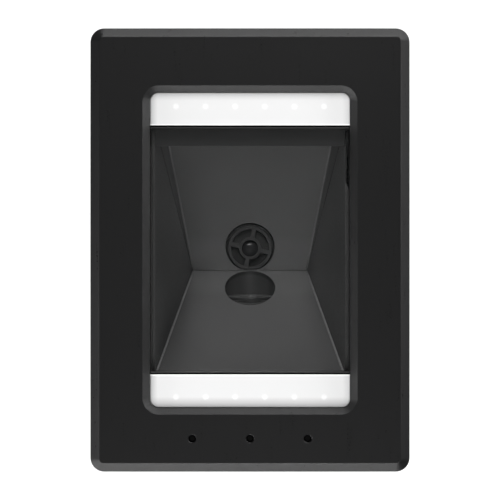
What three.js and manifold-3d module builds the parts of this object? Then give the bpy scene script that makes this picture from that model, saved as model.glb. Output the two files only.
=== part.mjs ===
// Desktop barcode scanner that lies on a counter and reads upwards through its window.
// Lengths are in millimetres. Z is up, X runs across the case and -Y is the front with the indicators.
// A camera looks level through a bore in a sloping floor, and a mirror folds its view up to the window.

import * as THREE from 'three';
import { mergeVertices } from 'three/addons/utils/BufferGeometryUtils.js';
import { ConvexGeometry } from 'three/addons/geometries/ConvexGeometry.js';
import Module from 'manifold-3d';

const wasm = await Module();
wasm.setup();

// Case: a border round the window opening
const SIDE_BORDER = 20.55;
const END_BORDER = 22.1;
const CASE_CORNER = 4.8;
const FACE_CHAMFER = 3.3;
const SHELL_WALL = 2.6;
const FACE_PLATE = 2.6;
const INNER_CHAMFER = 1.5;
const BEZEL_DEPTH = 16.9;
const FOOT_STANDOFF = 2;
const GAP = 0.3;
const OVERRUN = 3;
const MERGE_DISTANCE = 0.0001;

// Window opening and the light panels at its two ends
const OPENING_WIDTH = 68.9;
const OPENING_LENGTH = 108.6;
const OPENING_CORNER = 2.3;
const OPENING_CHAMFER = 2.8;
const RIM_WALL = 2.4;
const PANEL_SPAN = 12.1;
const PANEL_LIP = 0.45;
const PANEL_LIP_DROP = 0.8;
const PANEL_PLATE = 1;
const PANEL_FLANGE = 0.7;
const PANEL_FLANGE_REACH = 1.7;
const PANEL_TOP_DROP = 0.1;
const PANEL_BEVEL = 0.35;
const PANEL_CLEARANCE = 0.2;
const WINDOW_THICKNESS = 1.5;
const TAPE_THICKNESS = 0.4;
const TAPE_INSET = 0.1;

// Optical wedge: the floor and the mirror meet in a level valley
const VALLEY_HEIGHT = 12;
const VALLEY_FORWARD_SHARE = 0.0718;
const VALLEY_WIDTH_SHARE = 0.627;
const END_WALL_HEIGHT = 2;
const FLOOR_TILT = THREE.MathUtils.degToRad(55.7);
const MIRROR_TILT = THREE.MathUtils.degToRad(45);
const LEDGE_WIDTH = 1.42;
const LEDGE_DROP = 8.9;
const FLOOR_WALL = 2.2;
const SIDE_WALL = 2;
const DECK_REACH = 5.55;
const DECK_PLATE = 2;
const DECK_CORNER = 3;
const BOX_INNER_WALL = 2.3;
const BOX_WALL = 1.5;
const BOX_FLOOR = 2.3;
const BOX_DEPTH_BELOW_LEDGE = 1.7;
const BOX_SIDE_CLEARANCE = 0.9;
const LEAD_SLOT_WIDTH = 4.4;
const LEAD_SLOT_DEPTH = 2.6;
const NOTCH_WIDTH = 1.3;
const NOTCH_LENGTH = 20.7;
const NOTCH_SLANT = 2.6;
const MIRROR_LIP_REACH = 6;
const MIRROR_LIP_DROP = 0.4;
const MIRROR_LIP_THICKNESS = 1.1;

// Mirror, its foam pads and the bracket behind it
const MIRROR_THICKNESS = 2;
const MIRROR_MARGIN = 1.4;
const MIRROR_TOE = 0.5;
const MIRROR_TOP_MARGIN = 0.3;
const FRAME_MARGIN = 3.6;
const FRAME_FRONT = 1.5;
const PAD_THICKNESS = 1;
const PAD_INSET = 3;
const PAD_WIDTH = 5;
const BRACKET_THICKNESS = 1.5;
const BRACKET_START = 2;
const BRACKET_END_SHARE = 0.831;
const BRACKET_BAR = 7;
const EAR_OFFSET = 5;
const EAR_RADIUS = 3.2;
const PEG_RADIUS = 1.1;
const EAR_LOW_SHARE = 0.197;
const EAR_HIGH_SHARE = 0.704;

// Camera bore, lens and lens holder, along an axis that points at the mirror
const BORE_RADIUS = 9.4;
const BORE_RISE = 9.1;
const BORE_SETBACK = 6.2;
const BORE_TILT = THREE.MathUtils.degToRad(2.4);
const TUBE_WALL = 2;
const TUBE_FRONT = 4;
const TUBE_REAR = 16.5;
const LENS_SETBACK = 3.2;
const LENS_DROP = 0.5;
const LENS_RIM_RADIUS = 8.55;
const LENS_RIM_DEPTH = 2.4;
const LENS_RIM_BEVEL = 0.25;
const LENS_THREAD_RADIUS = 6;
const LENS_LENGTH = 14;
const LENS_APERTURE_RADIUS = 3.15;
const LENS_LIP = 1.6;
const LENS_BORE_RADIUS = 4.3;
const LENS_SEAT_DEPTH = 5.6;
const LENS_REAR_RADIUS = 3.6;
const SLOT_INNER_RADIUS = 4.2;
const SLOT_OUTER_RADIUS = 7.5;
const SLOT_DEPTH = 1.7;
const SPOKE_WIDTH = 1.75;
const SPOKE_TURN = THREE.MathUtils.degToRad(12.5);
const RUNNING_CLEARANCE = 0.05;
const GLASS_CROWN = 0.9;
const LOCK_RING_RADIUS = 7.6;
const LOCK_RING_FRONT = 4.2;
const LOCK_RING_THICKNESS = 1.5;
const HOLDER_RADIUS = 8.3;
const HOLDER_FRONT = 6;
const HOLDER_FLANGE = 21;
const HOLDER_FLANGE_THICKNESS = 2.7;
const HOLDER_CAVITY = 12;
const HOLDER_CAVITY_DEPTH = 1.7;
const BOARD_SETBACK = 17.3;
const CAMERA_BOARD_WIDTH = 34;
const CAMERA_BOARD_CLEARANCE = 1.4;
const CAMERA_BOARD_THICKNESS = 1.2;
const SENSOR_SIZE = 9;
const SENSOR_THICKNESS = 1;
const CAMERA_EAR_SPACING = 28.4;
const CAMERA_EAR_RADIUS = 2.6;
const CAMERA_EAR_WEB = 2;
const HOLDER_SCREW_SPACING = 16.6;

// Light boards
const LIGHT_BOARD_WIDTH = 10.6;
const LIGHT_BOARD_THICKNESS = 1;
const LIGHT_COUNT = 6;
const LIGHT_PITCH_SHARE = 0.148;
const LIGHT_ROW_SHIFT = -0.65;
const LIGHT_SIZE = 2.8;
const LIGHT_HEIGHT = 0.8;
const LIGHT_SCREW_INSET = 3.05;
const LIGHT_SCREW_OFFSET = 3;

// Indicators in the front border of the face
const INDICATOR_COUNT = 3;
const INDICATOR_PITCH = 19.8;
const INDICATOR_FORWARD_SHARE = 0.4706;
const INDICATOR_HOLE_RADIUS = 1.235;
const INDICATOR_RECESS = 1.4;
const GUIDE_COLLAR_RADIUS = 2.2;
const GUIDE_COLLAR_THICKNESS = 1.5;
const GUIDE_LENGTH = 5.8;
const GUIDE_ARM = 1.6;
const HOLE_BOSS_RADIUS = 3;
const HOLE_BOSS_DEPTH = 1.4;
const INDICATOR_BOARD_WIDTH = 8;
const INDICATOR_BOARD_REACH = 6.2;
const INDICATOR_BOARD_THICKNESS = 1.2;
const INDICATOR_LIGHT_SIZE = 1.6;
const INDICATOR_LIGHT_HEIGHT = 0.8;

// Rear housing
const TUB_STEP = 0.4;
const TUB_DRAFT = THREE.MathUtils.degToRad(2);
const TUB_WALL = 2.4;
const TUB_FLOOR = 2.5;
const BASE_CHAMFER = 2;
const TONGUE_WALL = 1;
const TONGUE_HEIGHT = 2;
const TOWER_SIDE = 8.5;
const TOWER_END = 8.9;
const TOWER_RADIUS = 4.8;
const WELL_RADIUS = 3.4;
const WELL_SHOULDER = 10;
const BEZEL_BOSS_RADIUS = 4;
const RIB_THICKNESS = 1.6;
const RIB_DEPTH = 3;
const RIB_TOP_DROP = 8;
const RIB_PITCH_SHARE = 0.144;
const RIB_COUNT = 5;
const FOOT_RADIUS = 7;
const FOOT_RECESS = 1;
const FOOT_SIDE = 17;
const FOOT_END = 20.4;
const FOOT_BEVEL = 0.6;

// Main board and what it carries
const BOARD_SIDE_MARGIN = 19;
const BOARD_END_MARGIN = 6.4;
const BOARD_THICKNESS = 1.6;
const BOARD_START = 8;
const STANDOFF_HEIGHT = 6.5;
const STANDOFF_RADIUS = 3;
const STANDOFF_INSET = 4.5;
const SOCKET_WIDTH = 16.2;
const SOCKET_HEIGHT = 13.5;
const SOCKET_LENGTH = 18;
const SOCKET_MOUTH_WIDTH = 11.8;
const SOCKET_MOUTH_HEIGHT = 6.9;
const SOCKET_MOUTH_DEPTH = 12.5;
const SOCKET_LATCH_WIDTH = 6;
const SOCKET_LATCH_HEIGHT = 1.7;
const SOCKET_FLOOR = 4;
const SOCKET_PROUD = 2.1;
const CONTACT_COUNT = 10;
const CONTACT_PITCH = 1.02;
const CONTACT_WIRE = 0.4;
const CONTACT_LENGTH = 8;
const CONTACT_SLOPE = THREE.MathUtils.degToRad(10);
const CHIP_ROW_Y = 32;
const CHIP_HEIGHT = 1.2;
const PROCESSOR_SIZE = 14;
const MEMORY_WIDTH = 8;
const MEMORY_LENGTH = 11;
const MEMORY_X = 16;
const DRIVER_SIZE = 5;
const DRIVER_X = -17;
const BUZZER_RADIUS = 6;
const BUZZER_HEIGHT = 4.6;
const BUZZER_INSET = 16;
const BUZZER_Y = 49;
const SOUND_HOLE_RADIUS = 0.9;
const SOUND_HOLE_RING = 3.4;
const SOUND_HOLE_COUNT = 6;
const CONNECTOR_HEIGHT = 2.4;
const CONNECTOR_DEPTH = 4;
const LEAD_X = 18;
const LEAD_WIDTH = 3;
const FLEX_WIDTH = 12;
const RIBBON_THICKNESS = 0.4;
const RUN_HEIGHT = 1.7;
const RUN_BEND = 8;
const RUN_RISE = 3;
const CAMERA_FLEX_BACK = 1.2;
const CAMERA_FLEX_LOOP = 3;

// Steps of the round forms
const CORNER_STEPS = 3;
const FINE_STEPS = 48;
const MEDIUM_STEPS = 24;
const SMALL_STEPS = 12;
const RIBBON_STEPS = 20;

// Heights and places that follow from the sizes above
const CASE_WIDTH = OPENING_WIDTH + 2 * SIDE_BORDER;
const CASE_LENGTH = OPENING_LENGTH + 2 * END_BORDER;
const END_WALL_Y = OPENING_LENGTH / 2 - PANEL_SPAN;
const VALLEY_Z = VALLEY_HEIGHT;
const VALLEY_Y = -VALLEY_FORWARD_SHARE * OPENING_LENGTH;
const VALLEY_WIDTH = VALLEY_WIDTH_SHARE * OPENING_WIDTH;
const LEDGE_Z = VALLEY_Z + (END_WALL_Y - VALLEY_Y) * Math.tan(MIRROR_TILT) + END_WALL_HEIGHT;
const FACE_Z = LEDGE_Z + LEDGE_DROP;
const PARTING_Z = FACE_Z - BEZEL_DEPTH;
const PLATE_UNDER_Z = FACE_Z - FACE_PLATE;
const CHAMFER_FOOT_Z = FACE_Z - OPENING_CHAMFER;
const PANEL_TOP_Z = CHAMFER_FOOT_Z - PANEL_TOP_DROP;
const PANEL_FLANGE_Z = PANEL_TOP_Z - PANEL_PLATE;
const PANEL_BOTTOM_Z = PANEL_FLANGE_Z - PANEL_FLANGE;
const BOX_TOP_Z = PANEL_BOTTOM_Z - GAP;
const BOX_POCKET_Z = LEDGE_Z - BOX_DEPTH_BELOW_LEDGE;
const BOX_BOTTOM_Z = BOX_POCKET_Z - BOX_FLOOR;
const POCKET_NEAR_Y = END_WALL_Y + BOX_INNER_WALL;
const POCKET_FAR_Y = OPENING_LENGTH / 2 + PANEL_FLANGE_REACH;
const POCKET_HALF = OPENING_WIDTH / 2 + BOX_SIDE_CLEARANCE;
const BOX_FAR_Y = POCKET_FAR_Y + BOX_WALL;
const BOX_HALF = POCKET_HALF + BOX_WALL;
const GLASS_Z = LEDGE_Z + TAPE_THICKNESS;
const LEDGE_HALF = OPENING_WIDTH / 2 - LEDGE_WIDTH;
const SIDE_SPREAD = Math.atan2(LEDGE_HALF - VALLEY_WIDTH / 2, LEDGE_Z - VALLEY_Z);
const DECK_WIDTH = OPENING_WIDTH + 2 * DECK_REACH;
const FRAME_BACK = MIRROR_THICKNESS + GAP + PAD_THICKNESS;
const MIRROR_TOP = (END_WALL_Y - VALLEY_Y) / Math.cos(MIRROR_TILT) + MIRROR_TOP_MARGIN;
const BRACKET_END = BRACKET_END_SHARE * MIRROR_TOP;
const EAR_LOW = EAR_LOW_SHARE * MIRROR_TOP;
const EAR_HIGH = EAR_HIGH_SHARE * MIRROR_TOP;
const TUB_BASE_Z = FOOT_STANDOFF;
const TUB_TOP_Z = PARTING_Z - GAP;
const TUB_FLOOR_Z = TUB_BASE_Z + TUB_FLOOR;
const TOWER_X = CASE_WIDTH / 2 - TOWER_SIDE;
const TOWER_Y = CASE_LENGTH / 2 - TOWER_END;
const SHOULDER_Z = TUB_TOP_Z - WELL_SHOULDER;
const RIB_PITCH = RIB_PITCH_SHARE * CASE_LENGTH;
const BOARD_WIDTH = CASE_WIDTH - 2 * BOARD_SIDE_MARGIN;
const BOARD_END = CASE_LENGTH / 2 - BOARD_END_MARGIN;
const BOARD_Z = TUB_FLOOR_Z + STANDOFF_HEIGHT;
const BOARD_TOP_Z = BOARD_Z + BOARD_THICKNESS;
const BUZZER_X = BUZZER_INSET - BOARD_WIDTH / 2;
const RUN_Z = TUB_FLOOR_Z + RUN_HEIGHT;
const PLUG_Z = BOARD_TOP_Z + CONNECTOR_HEIGHT / 2;
const CAMERA_Z = VALLEY_Z + BORE_RISE - LENS_DROP;
const CAMERA_BOARD_HEIGHT = 2 * (CAMERA_Z - RUN_Z - CAMERA_BOARD_CLEARANCE);
const LIGHT_ROW_Y = (POCKET_NEAR_Y + POCKET_FAR_Y) / 2;
const LIGHT_BOARD_Z = BOX_POCKET_Z + GAP;
const LIGHT_Z = LIGHT_BOARD_Z + LIGHT_BOARD_THICKNESS;
const LIGHT_BOARD_LENGTH = 2 * (POCKET_HALF - BOX_WALL);
const LIGHT_PITCH = LIGHT_PITCH_SHARE * OPENING_WIDTH;
const LIGHT_SCREW_SPACING = OPENING_WIDTH - 2 * LIGHT_SCREW_INSET;
const INDICATOR_Y = -OPENING_LENGTH / 2 - INDICATOR_FORWARD_SHARE * END_BORDER;
const INDICATOR_BOARD_LENGTH = (INDICATOR_COUNT - 1) * INDICATOR_PITCH + 2 * INDICATOR_BOARD_REACH;
const GUIDE_TOP_Z = FACE_Z - INDICATOR_RECESS;
const GUIDE_BOTTOM_Z = GUIDE_TOP_Z - GUIDE_LENGTH;
const INDICATOR_LIGHT_Z = GUIDE_BOTTOM_Z - GAP - INDICATOR_LIGHT_HEIGHT;
const INDICATOR_BOARD_Z = INDICATOR_LIGHT_Z - INDICATOR_BOARD_THICKNESS;

// Screws: shank radius, shank length, head radius, head height and recess radius
const HOUSING_SCREW = { shank: 1.25, length: 18, head: 2.8, height: 2.2, recess: 1.3 };
const CHAMBER_SCREW = { shank: 1.25, length: 7, head: 2.6, height: 1.8, recess: 1.2 };
const BRACKET_SCREW = { shank: 0.9, length: 5.2, head: 1.9, height: 1.4, recess: 0.8 };
const CAMERA_SCREW = { shank: 0.9, length: 5.5, head: 1.9, height: 1.4, recess: 0.8 };
const HOLDER_SCREW = { shank: 0.7, length: 3.2, head: 1.4, height: 1.1, recess: 0.6 };
const BOARD_SCREW = { shank: 1.25, length: 6, head: 2.6, height: 1.8, recess: 1.2 };
const LIGHT_SCREW = { shank: 0.8, length: 2.6, head: 1.7, height: 1.2, recess: 0.7 };
const INDICATOR_SCREW = { shank: 0.9, length: 4.5, head: 1.9, height: 1.4, recess: 0.8 };
const CHAMBER_EAR_SIDE = 7.05;
const CHAMBER_EAR_END = 6.2;
const CHAMBER_EAR_X = OPENING_WIDTH / 2 + CHAMBER_EAR_SIDE;
const CHAMBER_EAR_Y = END_WALL_Y - CHAMBER_EAR_END;
const CHAMBER_EAR_RADIUS = 4.5;
const CHAMBER_BOSS_RADIUS = 3.2;
const INDICATOR_BOSS_X = 10;
const INDICATOR_BOSS_RADIUS = 2.4;

// Materials
const MATERIALS = {
  shell: { color: 0x242424, roughness: 0.55, metalness: 0 },
  chamber: { color: 0x3a3a3a, roughness: 0.5, metalness: 0 },
  rubber: { color: 0x151515, roughness: 0.9, metalness: 0 },
  glass: { color: 0xdfe8e6, roughness: 0.02, metalness: 0, transparent: true, opacity: 0.2 },
  tape: { color: 0x303030, roughness: 0.8, metalness: 0 },
  diffuser: { color: 0xf6f6f4, roughness: 0.4, metalness: 0 },
  board: { color: 0x1f5a35, roughness: 0.5, metalness: 0.1 },
  mirror: { color: 0xb8bcc0, roughness: 0.03, metalness: 1 },
  foam: { color: 0x1c1c1c, roughness: 0.95, metalness: 0 },
  lensBody: { color: 0x2c2c2c, roughness: 0.35, metalness: 0.4 },
  lensGlass: { color: 0x1b2030, roughness: 0.02, metalness: 0 },
  chip: { color: 0x16171a, roughness: 0.5, metalness: 0 },
  steel: { color: 0x8f9296, roughness: 0.35, metalness: 1 },
  brass: { color: 0xc79a3a, roughness: 0.3, metalness: 1 },
  ribbon: { color: 0xb98a3a, roughness: 0.5, metalness: 0 },
  guide: { color: 0x101010, roughness: 0.2, metalness: 0 },
};

// A closed geometry becomes a solid that can be joined and cut.
function solidOf(geometry) {
  const bare = geometry.clone();
  bare.deleteAttribute('normal');
  bare.deleteAttribute('uv');
  const merged = mergeVertices(bare, MERGE_DISTANCE);
  const vertProperties = new Float32Array(merged.attributes.position.array);
  const triVerts = new Uint32Array(merged.index.array);
  return new wasm.Manifold(new wasm.Mesh({ numProp: 3, vertProperties, triVerts }));
}

function geometryOf(solid) {
  const mesh = solid.getMesh();
  const geometry = new THREE.BufferGeometry();
  geometry.setAttribute('position', new THREE.BufferAttribute(mesh.vertProperties, 3));
  geometry.setIndex(new THREE.BufferAttribute(mesh.triVerts, 1));
  geometry.computeVertexNormals();
  return geometry;
}

function join(first, ...others) {
  return others.reduce((whole, piece) => whole.add(piece), first);
}

function cut(body, ...tools) {
  return tools.reduce((whole, tool) => whole.subtract(tool), body);
}

// A box from its low and high corners.
function boxGeometry(low, high) {
  const size = high.map((value, axis) => value - low[axis]);
  const geometry = new THREE.BoxGeometry(...size);
  return geometry.translate(...high.map((value, axis) => (value + low[axis]) / 2));
}

function box(low, high) {
  return solidOf(boxGeometry(low, high));
}

// An upright cylinder between two heights.
function postGeometry(radius, x, y, low, high, steps) {
  const geometry = new THREE.CylinderGeometry(radius, radius, high - low, steps);
  return geometry.rotateX(Math.PI / 2).translate(x, y, (low + high) / 2);
}

function post(radius, x, y, low, high, steps = MEDIUM_STEPS) {
  return solidOf(postGeometry(radius, x, y, low, high, steps));
}

// A body of revolution about its local Y axis, from a closed profile of radius and height pairs.
function turned(profile, steps = FINE_STEPS) {
  const points = profile.map(([radius, height]) => new THREE.Vector2(radius, height));
  return new THREE.LatheGeometry(points, steps);
}

// A turned ring or rod whose profile closes on itself has its first point repeated at the end.
function turnedRing(profile, steps = FINE_STEPS) {
  return turned([...profile, profile[0]], steps);
}

function arcPoints(x, y, radius, start, end) {
  const curve = new THREE.EllipseCurve(x, y, radius, radius, start, end);
  return curve.getPoints(2 * CORNER_STEPS);
}

// A rectangle with four round corners, counted anticlockwise.
function roundedRectangle(width, length, radius) {
  const x = width / 2 - radius;
  const y = length / 2 - radius;
  const quarter = Math.PI / 2;
  const corners = [[x, y], [-x, y], [-x, -y], [x, -y]];
  return corners.flatMap(([cornerX, cornerY], index) =>
    arcPoints(cornerX, cornerY, radius, index * quarter, (index + 1) * quarter));
}

// Skins closed outlines that lie at rising heights and have equal numbers of points.
function loft(levels) {
  const count = levels[0].outline.length;
  const positions = levels.flatMap(({ outline, z }) => outline.flatMap((point) => [point.x, point.y, z]));
  const indices = [];
  for (let level = 0; level + 1 < levels.length; level += 1) {
    for (let index = 0; index < count; index += 1) {
      const next = (index + 1) % count;
      const low = level * count;
      const high = low + count;
      indices.push(low + index, low + next, high + next);
      indices.push(low + index, high + next, high + index);
    }
  }
  const top = (levels.length - 1) * count;
  for (let index = 1; index + 1 < count; index += 1) {
    indices.push(0, index + 1, index);
    indices.push(top, top + index, top + index + 1);
  }
  const geometry = new THREE.BufferGeometry();
  geometry.setAttribute('position', new THREE.Float32BufferAttribute(positions, 3));
  geometry.setIndex(indices);
  geometry.computeVertexNormals();
  return geometry;
}

function rectangleLevel(width, length, radius, z) {
  return { outline: roundedRectangle(width, length, radius), z };
}

function rectanglePrism(width, length, radius, low, high) {
  return solidOf(loft([
    rectangleLevel(width, length, radius, low),
    rectangleLevel(width, length, radius, high),
  ]));
}

function fourCorners(x, y) {
  return [[x, y], [-x, y], [-x, -y], [x, -y]];
}

// A screw stands on its local Y axis: the shank points along +Y and the head lies below zero.
function screwGeometry({ shank, length, head, height, recess }) {
  return turned([
    [0, -height / 2],
    [recess, -height / 2],
    [recess, -height],
    [head, -height],
    [head, 0],
    [shank, 0],
    [shank, length],
    [0, length],
  ], SMALL_STEPS);
}

// The wedge of space under the window. Each offset moves its plane outwards from the open space.
function wedge({ floorOffset, mirrorOffset, sideOffset, endOffset, top }) {
  const floorNormal = [-Math.sin(FLOOR_TILT), -Math.cos(FLOOR_TILT)];
  const mirrorNormal = [Math.sin(MIRROR_TILT), -Math.cos(MIRROR_TILT)];
  const determinant = floorNormal[0] * mirrorNormal[1] - floorNormal[1] * mirrorNormal[0];
  const valley = [
    (floorOffset * mirrorNormal[1] - mirrorOffset * floorNormal[1]) / determinant,
    (floorNormal[0] * mirrorOffset - mirrorNormal[0] * floorOffset) / determinant,
  ];
  const end = END_WALL_Y + endOffset;
  const floorEnd = (floorOffset - floorNormal[0] * (-end - VALLEY_Y)) / floorNormal[1];
  const mirrorEnd = (mirrorOffset - mirrorNormal[0] * (end - VALLEY_Y)) / mirrorNormal[1];
  const section = [
    [VALLEY_Y + valley[0], VALLEY_Z + valley[1]],
    [-end, VALLEY_Z + floorEnd],
    [-end, top],
    [end, top],
    [end, VALLEY_Z + mirrorEnd],
  ];
  const points = section.flatMap(([y, z]) => {
    const half = VALLEY_WIDTH / 2 + (z - VALLEY_Z) * Math.tan(SIDE_SPREAD) + sideOffset;
    return [new THREE.Vector3(half, y, z), new THREE.Vector3(-half, y, z)];
  });
  return solidOf(new ConvexGeometry(points));
}

// Half the width of the open wedge at a distance up the mirror.
function mirrorHalf(distance) {
  return VALLEY_WIDTH / 2 + distance * Math.sin(MIRROR_TILT) * Math.tan(SIDE_SPREAD);
}

// A trapezium in the mirror's plane, extruded along the mirror's front normal.
function mirrorSlab(start, end, margin, back, front) {
  const shape = new THREE.Shape();
  shape.moveTo(-mirrorHalf(start) - margin, start);
  shape.lineTo(mirrorHalf(start) + margin, start);
  shape.lineTo(mirrorHalf(end) + margin, end);
  shape.lineTo(-mirrorHalf(end) - margin, end);
  shape.closePath();
  const geometry = new THREE.ExtrudeGeometry(shape, { depth: front - back, bevelEnabled: false });
  return geometry.translate(0, 0, back);
}

// Frames of the mirror, the camera bore and the lens
const mirrorFrame = new THREE.Group();
mirrorFrame.position.set(0, VALLEY_Y, VALLEY_Z);
mirrorFrame.rotation.x = MIRROR_TILT;
mirrorFrame.updateMatrix();

const boreFrame = new THREE.Group();
boreFrame.position.set(0, VALLEY_Y - BORE_SETBACK, VALLEY_Z + BORE_RISE);
boreFrame.rotation.x = BORE_TILT;
boreFrame.updateMatrix();

const lensFrame = new THREE.Group();
lensFrame.position.set(0, -LENS_SETBACK, -LENS_DROP);
boreFrame.add(lensFrame);

// A pair of ears beside the mirror, at a distance up it.
function earPair(distance) {
  const x = mirrorHalf(distance) + EAR_OFFSET;
  return [[x, distance], [-x, distance]];
}

function earPlaces() {
  return [...earPair(EAR_LOW), ...earPair(EAR_HIGH)];
}

// Face bezel: a chamfered plate with the window opening, a skirt, bosses and a rim round the window.
function faceBezel() {
  const outer = solidOf(loft([
    rectangleLevel(CASE_WIDTH, CASE_LENGTH, CASE_CORNER, PARTING_Z),
    rectangleLevel(CASE_WIDTH, CASE_LENGTH, CASE_CORNER, FACE_Z - FACE_CHAMFER),
    rectangleLevel(CASE_WIDTH - 2 * FACE_CHAMFER, CASE_LENGTH - 2 * FACE_CHAMFER,
      CASE_CORNER - FACE_CHAMFER, FACE_Z),
  ]));
  const insideWidth = CASE_WIDTH - 2 * SHELL_WALL;
  const insideLength = CASE_LENGTH - 2 * SHELL_WALL;
  const insideCorner = CASE_CORNER - SHELL_WALL;
  const cavity = solidOf(loft([
    rectangleLevel(insideWidth, insideLength, insideCorner, PARTING_Z - OVERRUN),
    rectangleLevel(insideWidth, insideLength, insideCorner, PLATE_UNDER_Z - INNER_CHAMFER),
    rectangleLevel(insideWidth - 2 * INNER_CHAMFER, insideLength - 2 * INNER_CHAMFER,
      insideCorner / 2, PLATE_UNDER_Z),
  ]));
  const rebateGap = TONGUE_WALL + GAP;
  const rebate = rectanglePrism(insideWidth + 2 * rebateGap, insideLength + 2 * rebateGap,
    insideCorner + rebateGap, PARTING_Z - OVERRUN, PARTING_Z + TONGUE_HEIGHT);
  const rim = rectanglePrism(OPENING_WIDTH + 2 * RIM_WALL, OPENING_LENGTH + 2 * RIM_WALL,
    OPENING_CORNER + RIM_WALL, LEDGE_Z + GAP, PLATE_UNDER_Z + FACE_PLATE / 2);
  const reliefHalf = BOX_HALF + GAP;
  const reliefs = [1, -1].map((side) => box(
    [-reliefHalf, Math.min(side * (END_WALL_Y - GAP), side * (BOX_FAR_Y + GAP)), LEDGE_Z],
    [reliefHalf, Math.max(side * (END_WALL_Y - GAP), side * (BOX_FAR_Y + GAP)), PANEL_FLANGE_Z + GAP]));
  const opening = solidOf(loft([
    rectangleLevel(OPENING_WIDTH, OPENING_LENGTH, OPENING_CORNER, LEDGE_Z - OVERRUN),
    rectangleLevel(OPENING_WIDTH, OPENING_LENGTH, OPENING_CORNER, CHAMFER_FOOT_Z),
    rectangleLevel(OPENING_WIDTH + 2 * OPENING_CHAMFER, OPENING_LENGTH + 2 * OPENING_CHAMFER,
      OPENING_CORNER + OPENING_CHAMFER, FACE_Z),
    rectangleLevel(OPENING_WIDTH + 2 * OPENING_CHAMFER + 2 * OVERRUN,
      OPENING_LENGTH + 2 * OPENING_CHAMFER + 2 * OVERRUN,
      OPENING_CORNER + OPENING_CHAMFER + OVERRUN, FACE_Z + OVERRUN),
  ]));
  const caseBosses = fourCorners(TOWER_X, TOWER_Y).map(([x, y]) =>
    post(BEZEL_BOSS_RADIUS, x, y, PARTING_Z, PLATE_UNDER_Z + FACE_PLATE / 2));
  const casePilots = fourCorners(TOWER_X, TOWER_Y).map(([x, y]) =>
    post(HOUSING_SCREW.shank + GAP, x, y, PARTING_Z - OVERRUN, PLATE_UNDER_Z - GAP, SMALL_STEPS));
  const chamberBosses = fourCorners(CHAMBER_EAR_X, CHAMBER_EAR_Y).map(([x, y]) =>
    post(CHAMBER_BOSS_RADIUS, x, y, LEDGE_Z + GAP, PLATE_UNDER_Z + FACE_PLATE / 2, SMALL_STEPS));
  const chamberPilots = fourCorners(CHAMBER_EAR_X, CHAMBER_EAR_Y).map(([x, y]) =>
    post(CHAMBER_SCREW.shank + GAP, x, y, LEDGE_Z - OVERRUN, PLATE_UNDER_Z, SMALL_STEPS));
  const boardBosses = [INDICATOR_BOSS_X, -INDICATOR_BOSS_X].map((x) =>
    post(INDICATOR_BOSS_RADIUS, x, INDICATOR_Y, INDICATOR_LIGHT_Z + GAP,
      PLATE_UNDER_Z + FACE_PLATE / 2, SMALL_STEPS));
  const boardPilots = [INDICATOR_BOSS_X, -INDICATOR_BOSS_X].map((x) =>
    post(INDICATOR_SCREW.shank + GAP, x, INDICATOR_Y, INDICATOR_LIGHT_Z, PLATE_UNDER_Z, SMALL_STEPS));
  const holeBosses = indicatorPlaces().map(([x, y]) =>
    post(HOLE_BOSS_RADIUS, x, y, PLATE_UNDER_Z - HOLE_BOSS_DEPTH, PLATE_UNDER_Z + FACE_PLATE / 2,
      SMALL_STEPS));
  const holes = indicatorPlaces().map(([x, y]) =>
    post(INDICATOR_HOLE_RADIUS, x, y, PARTING_Z, FACE_Z + OVERRUN, MEDIUM_STEPS));
  const shell = cut(outer, cavity, rebate);
  const rimRing = cut(rim, ...reliefs);
  const whole = join(shell, rimRing, ...caseBosses, ...chamberBosses, ...boardBosses, ...holeBosses);
  return geometryOf(cut(whole, opening, ...casePilots, ...chamberPilots, ...boardPilots, ...holes));
}

function indicatorPlaces() {
  const middle = (INDICATOR_COUNT - 1) / 2;
  return Array.from({ length: INDICATOR_COUNT }, (_, index) =>
    [(index - middle) * INDICATOR_PITCH, INDICATOR_Y]);
}

// Outside width and length of the rear housing at a height.
function tubWidth(z) {
  return CASE_WIDTH - 2 * TUB_STEP - 2 * (TUB_TOP_Z - z) * Math.tan(TUB_DRAFT);
}

function tubLength(z) {
  return tubWidth(z) + CASE_LENGTH - CASE_WIDTH;
}

function tubLevel(z, inset) {
  return rectangleLevel(tubWidth(z) - 2 * inset, tubLength(z) - 2 * inset, CASE_CORNER - inset / 2, z);
}

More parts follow.
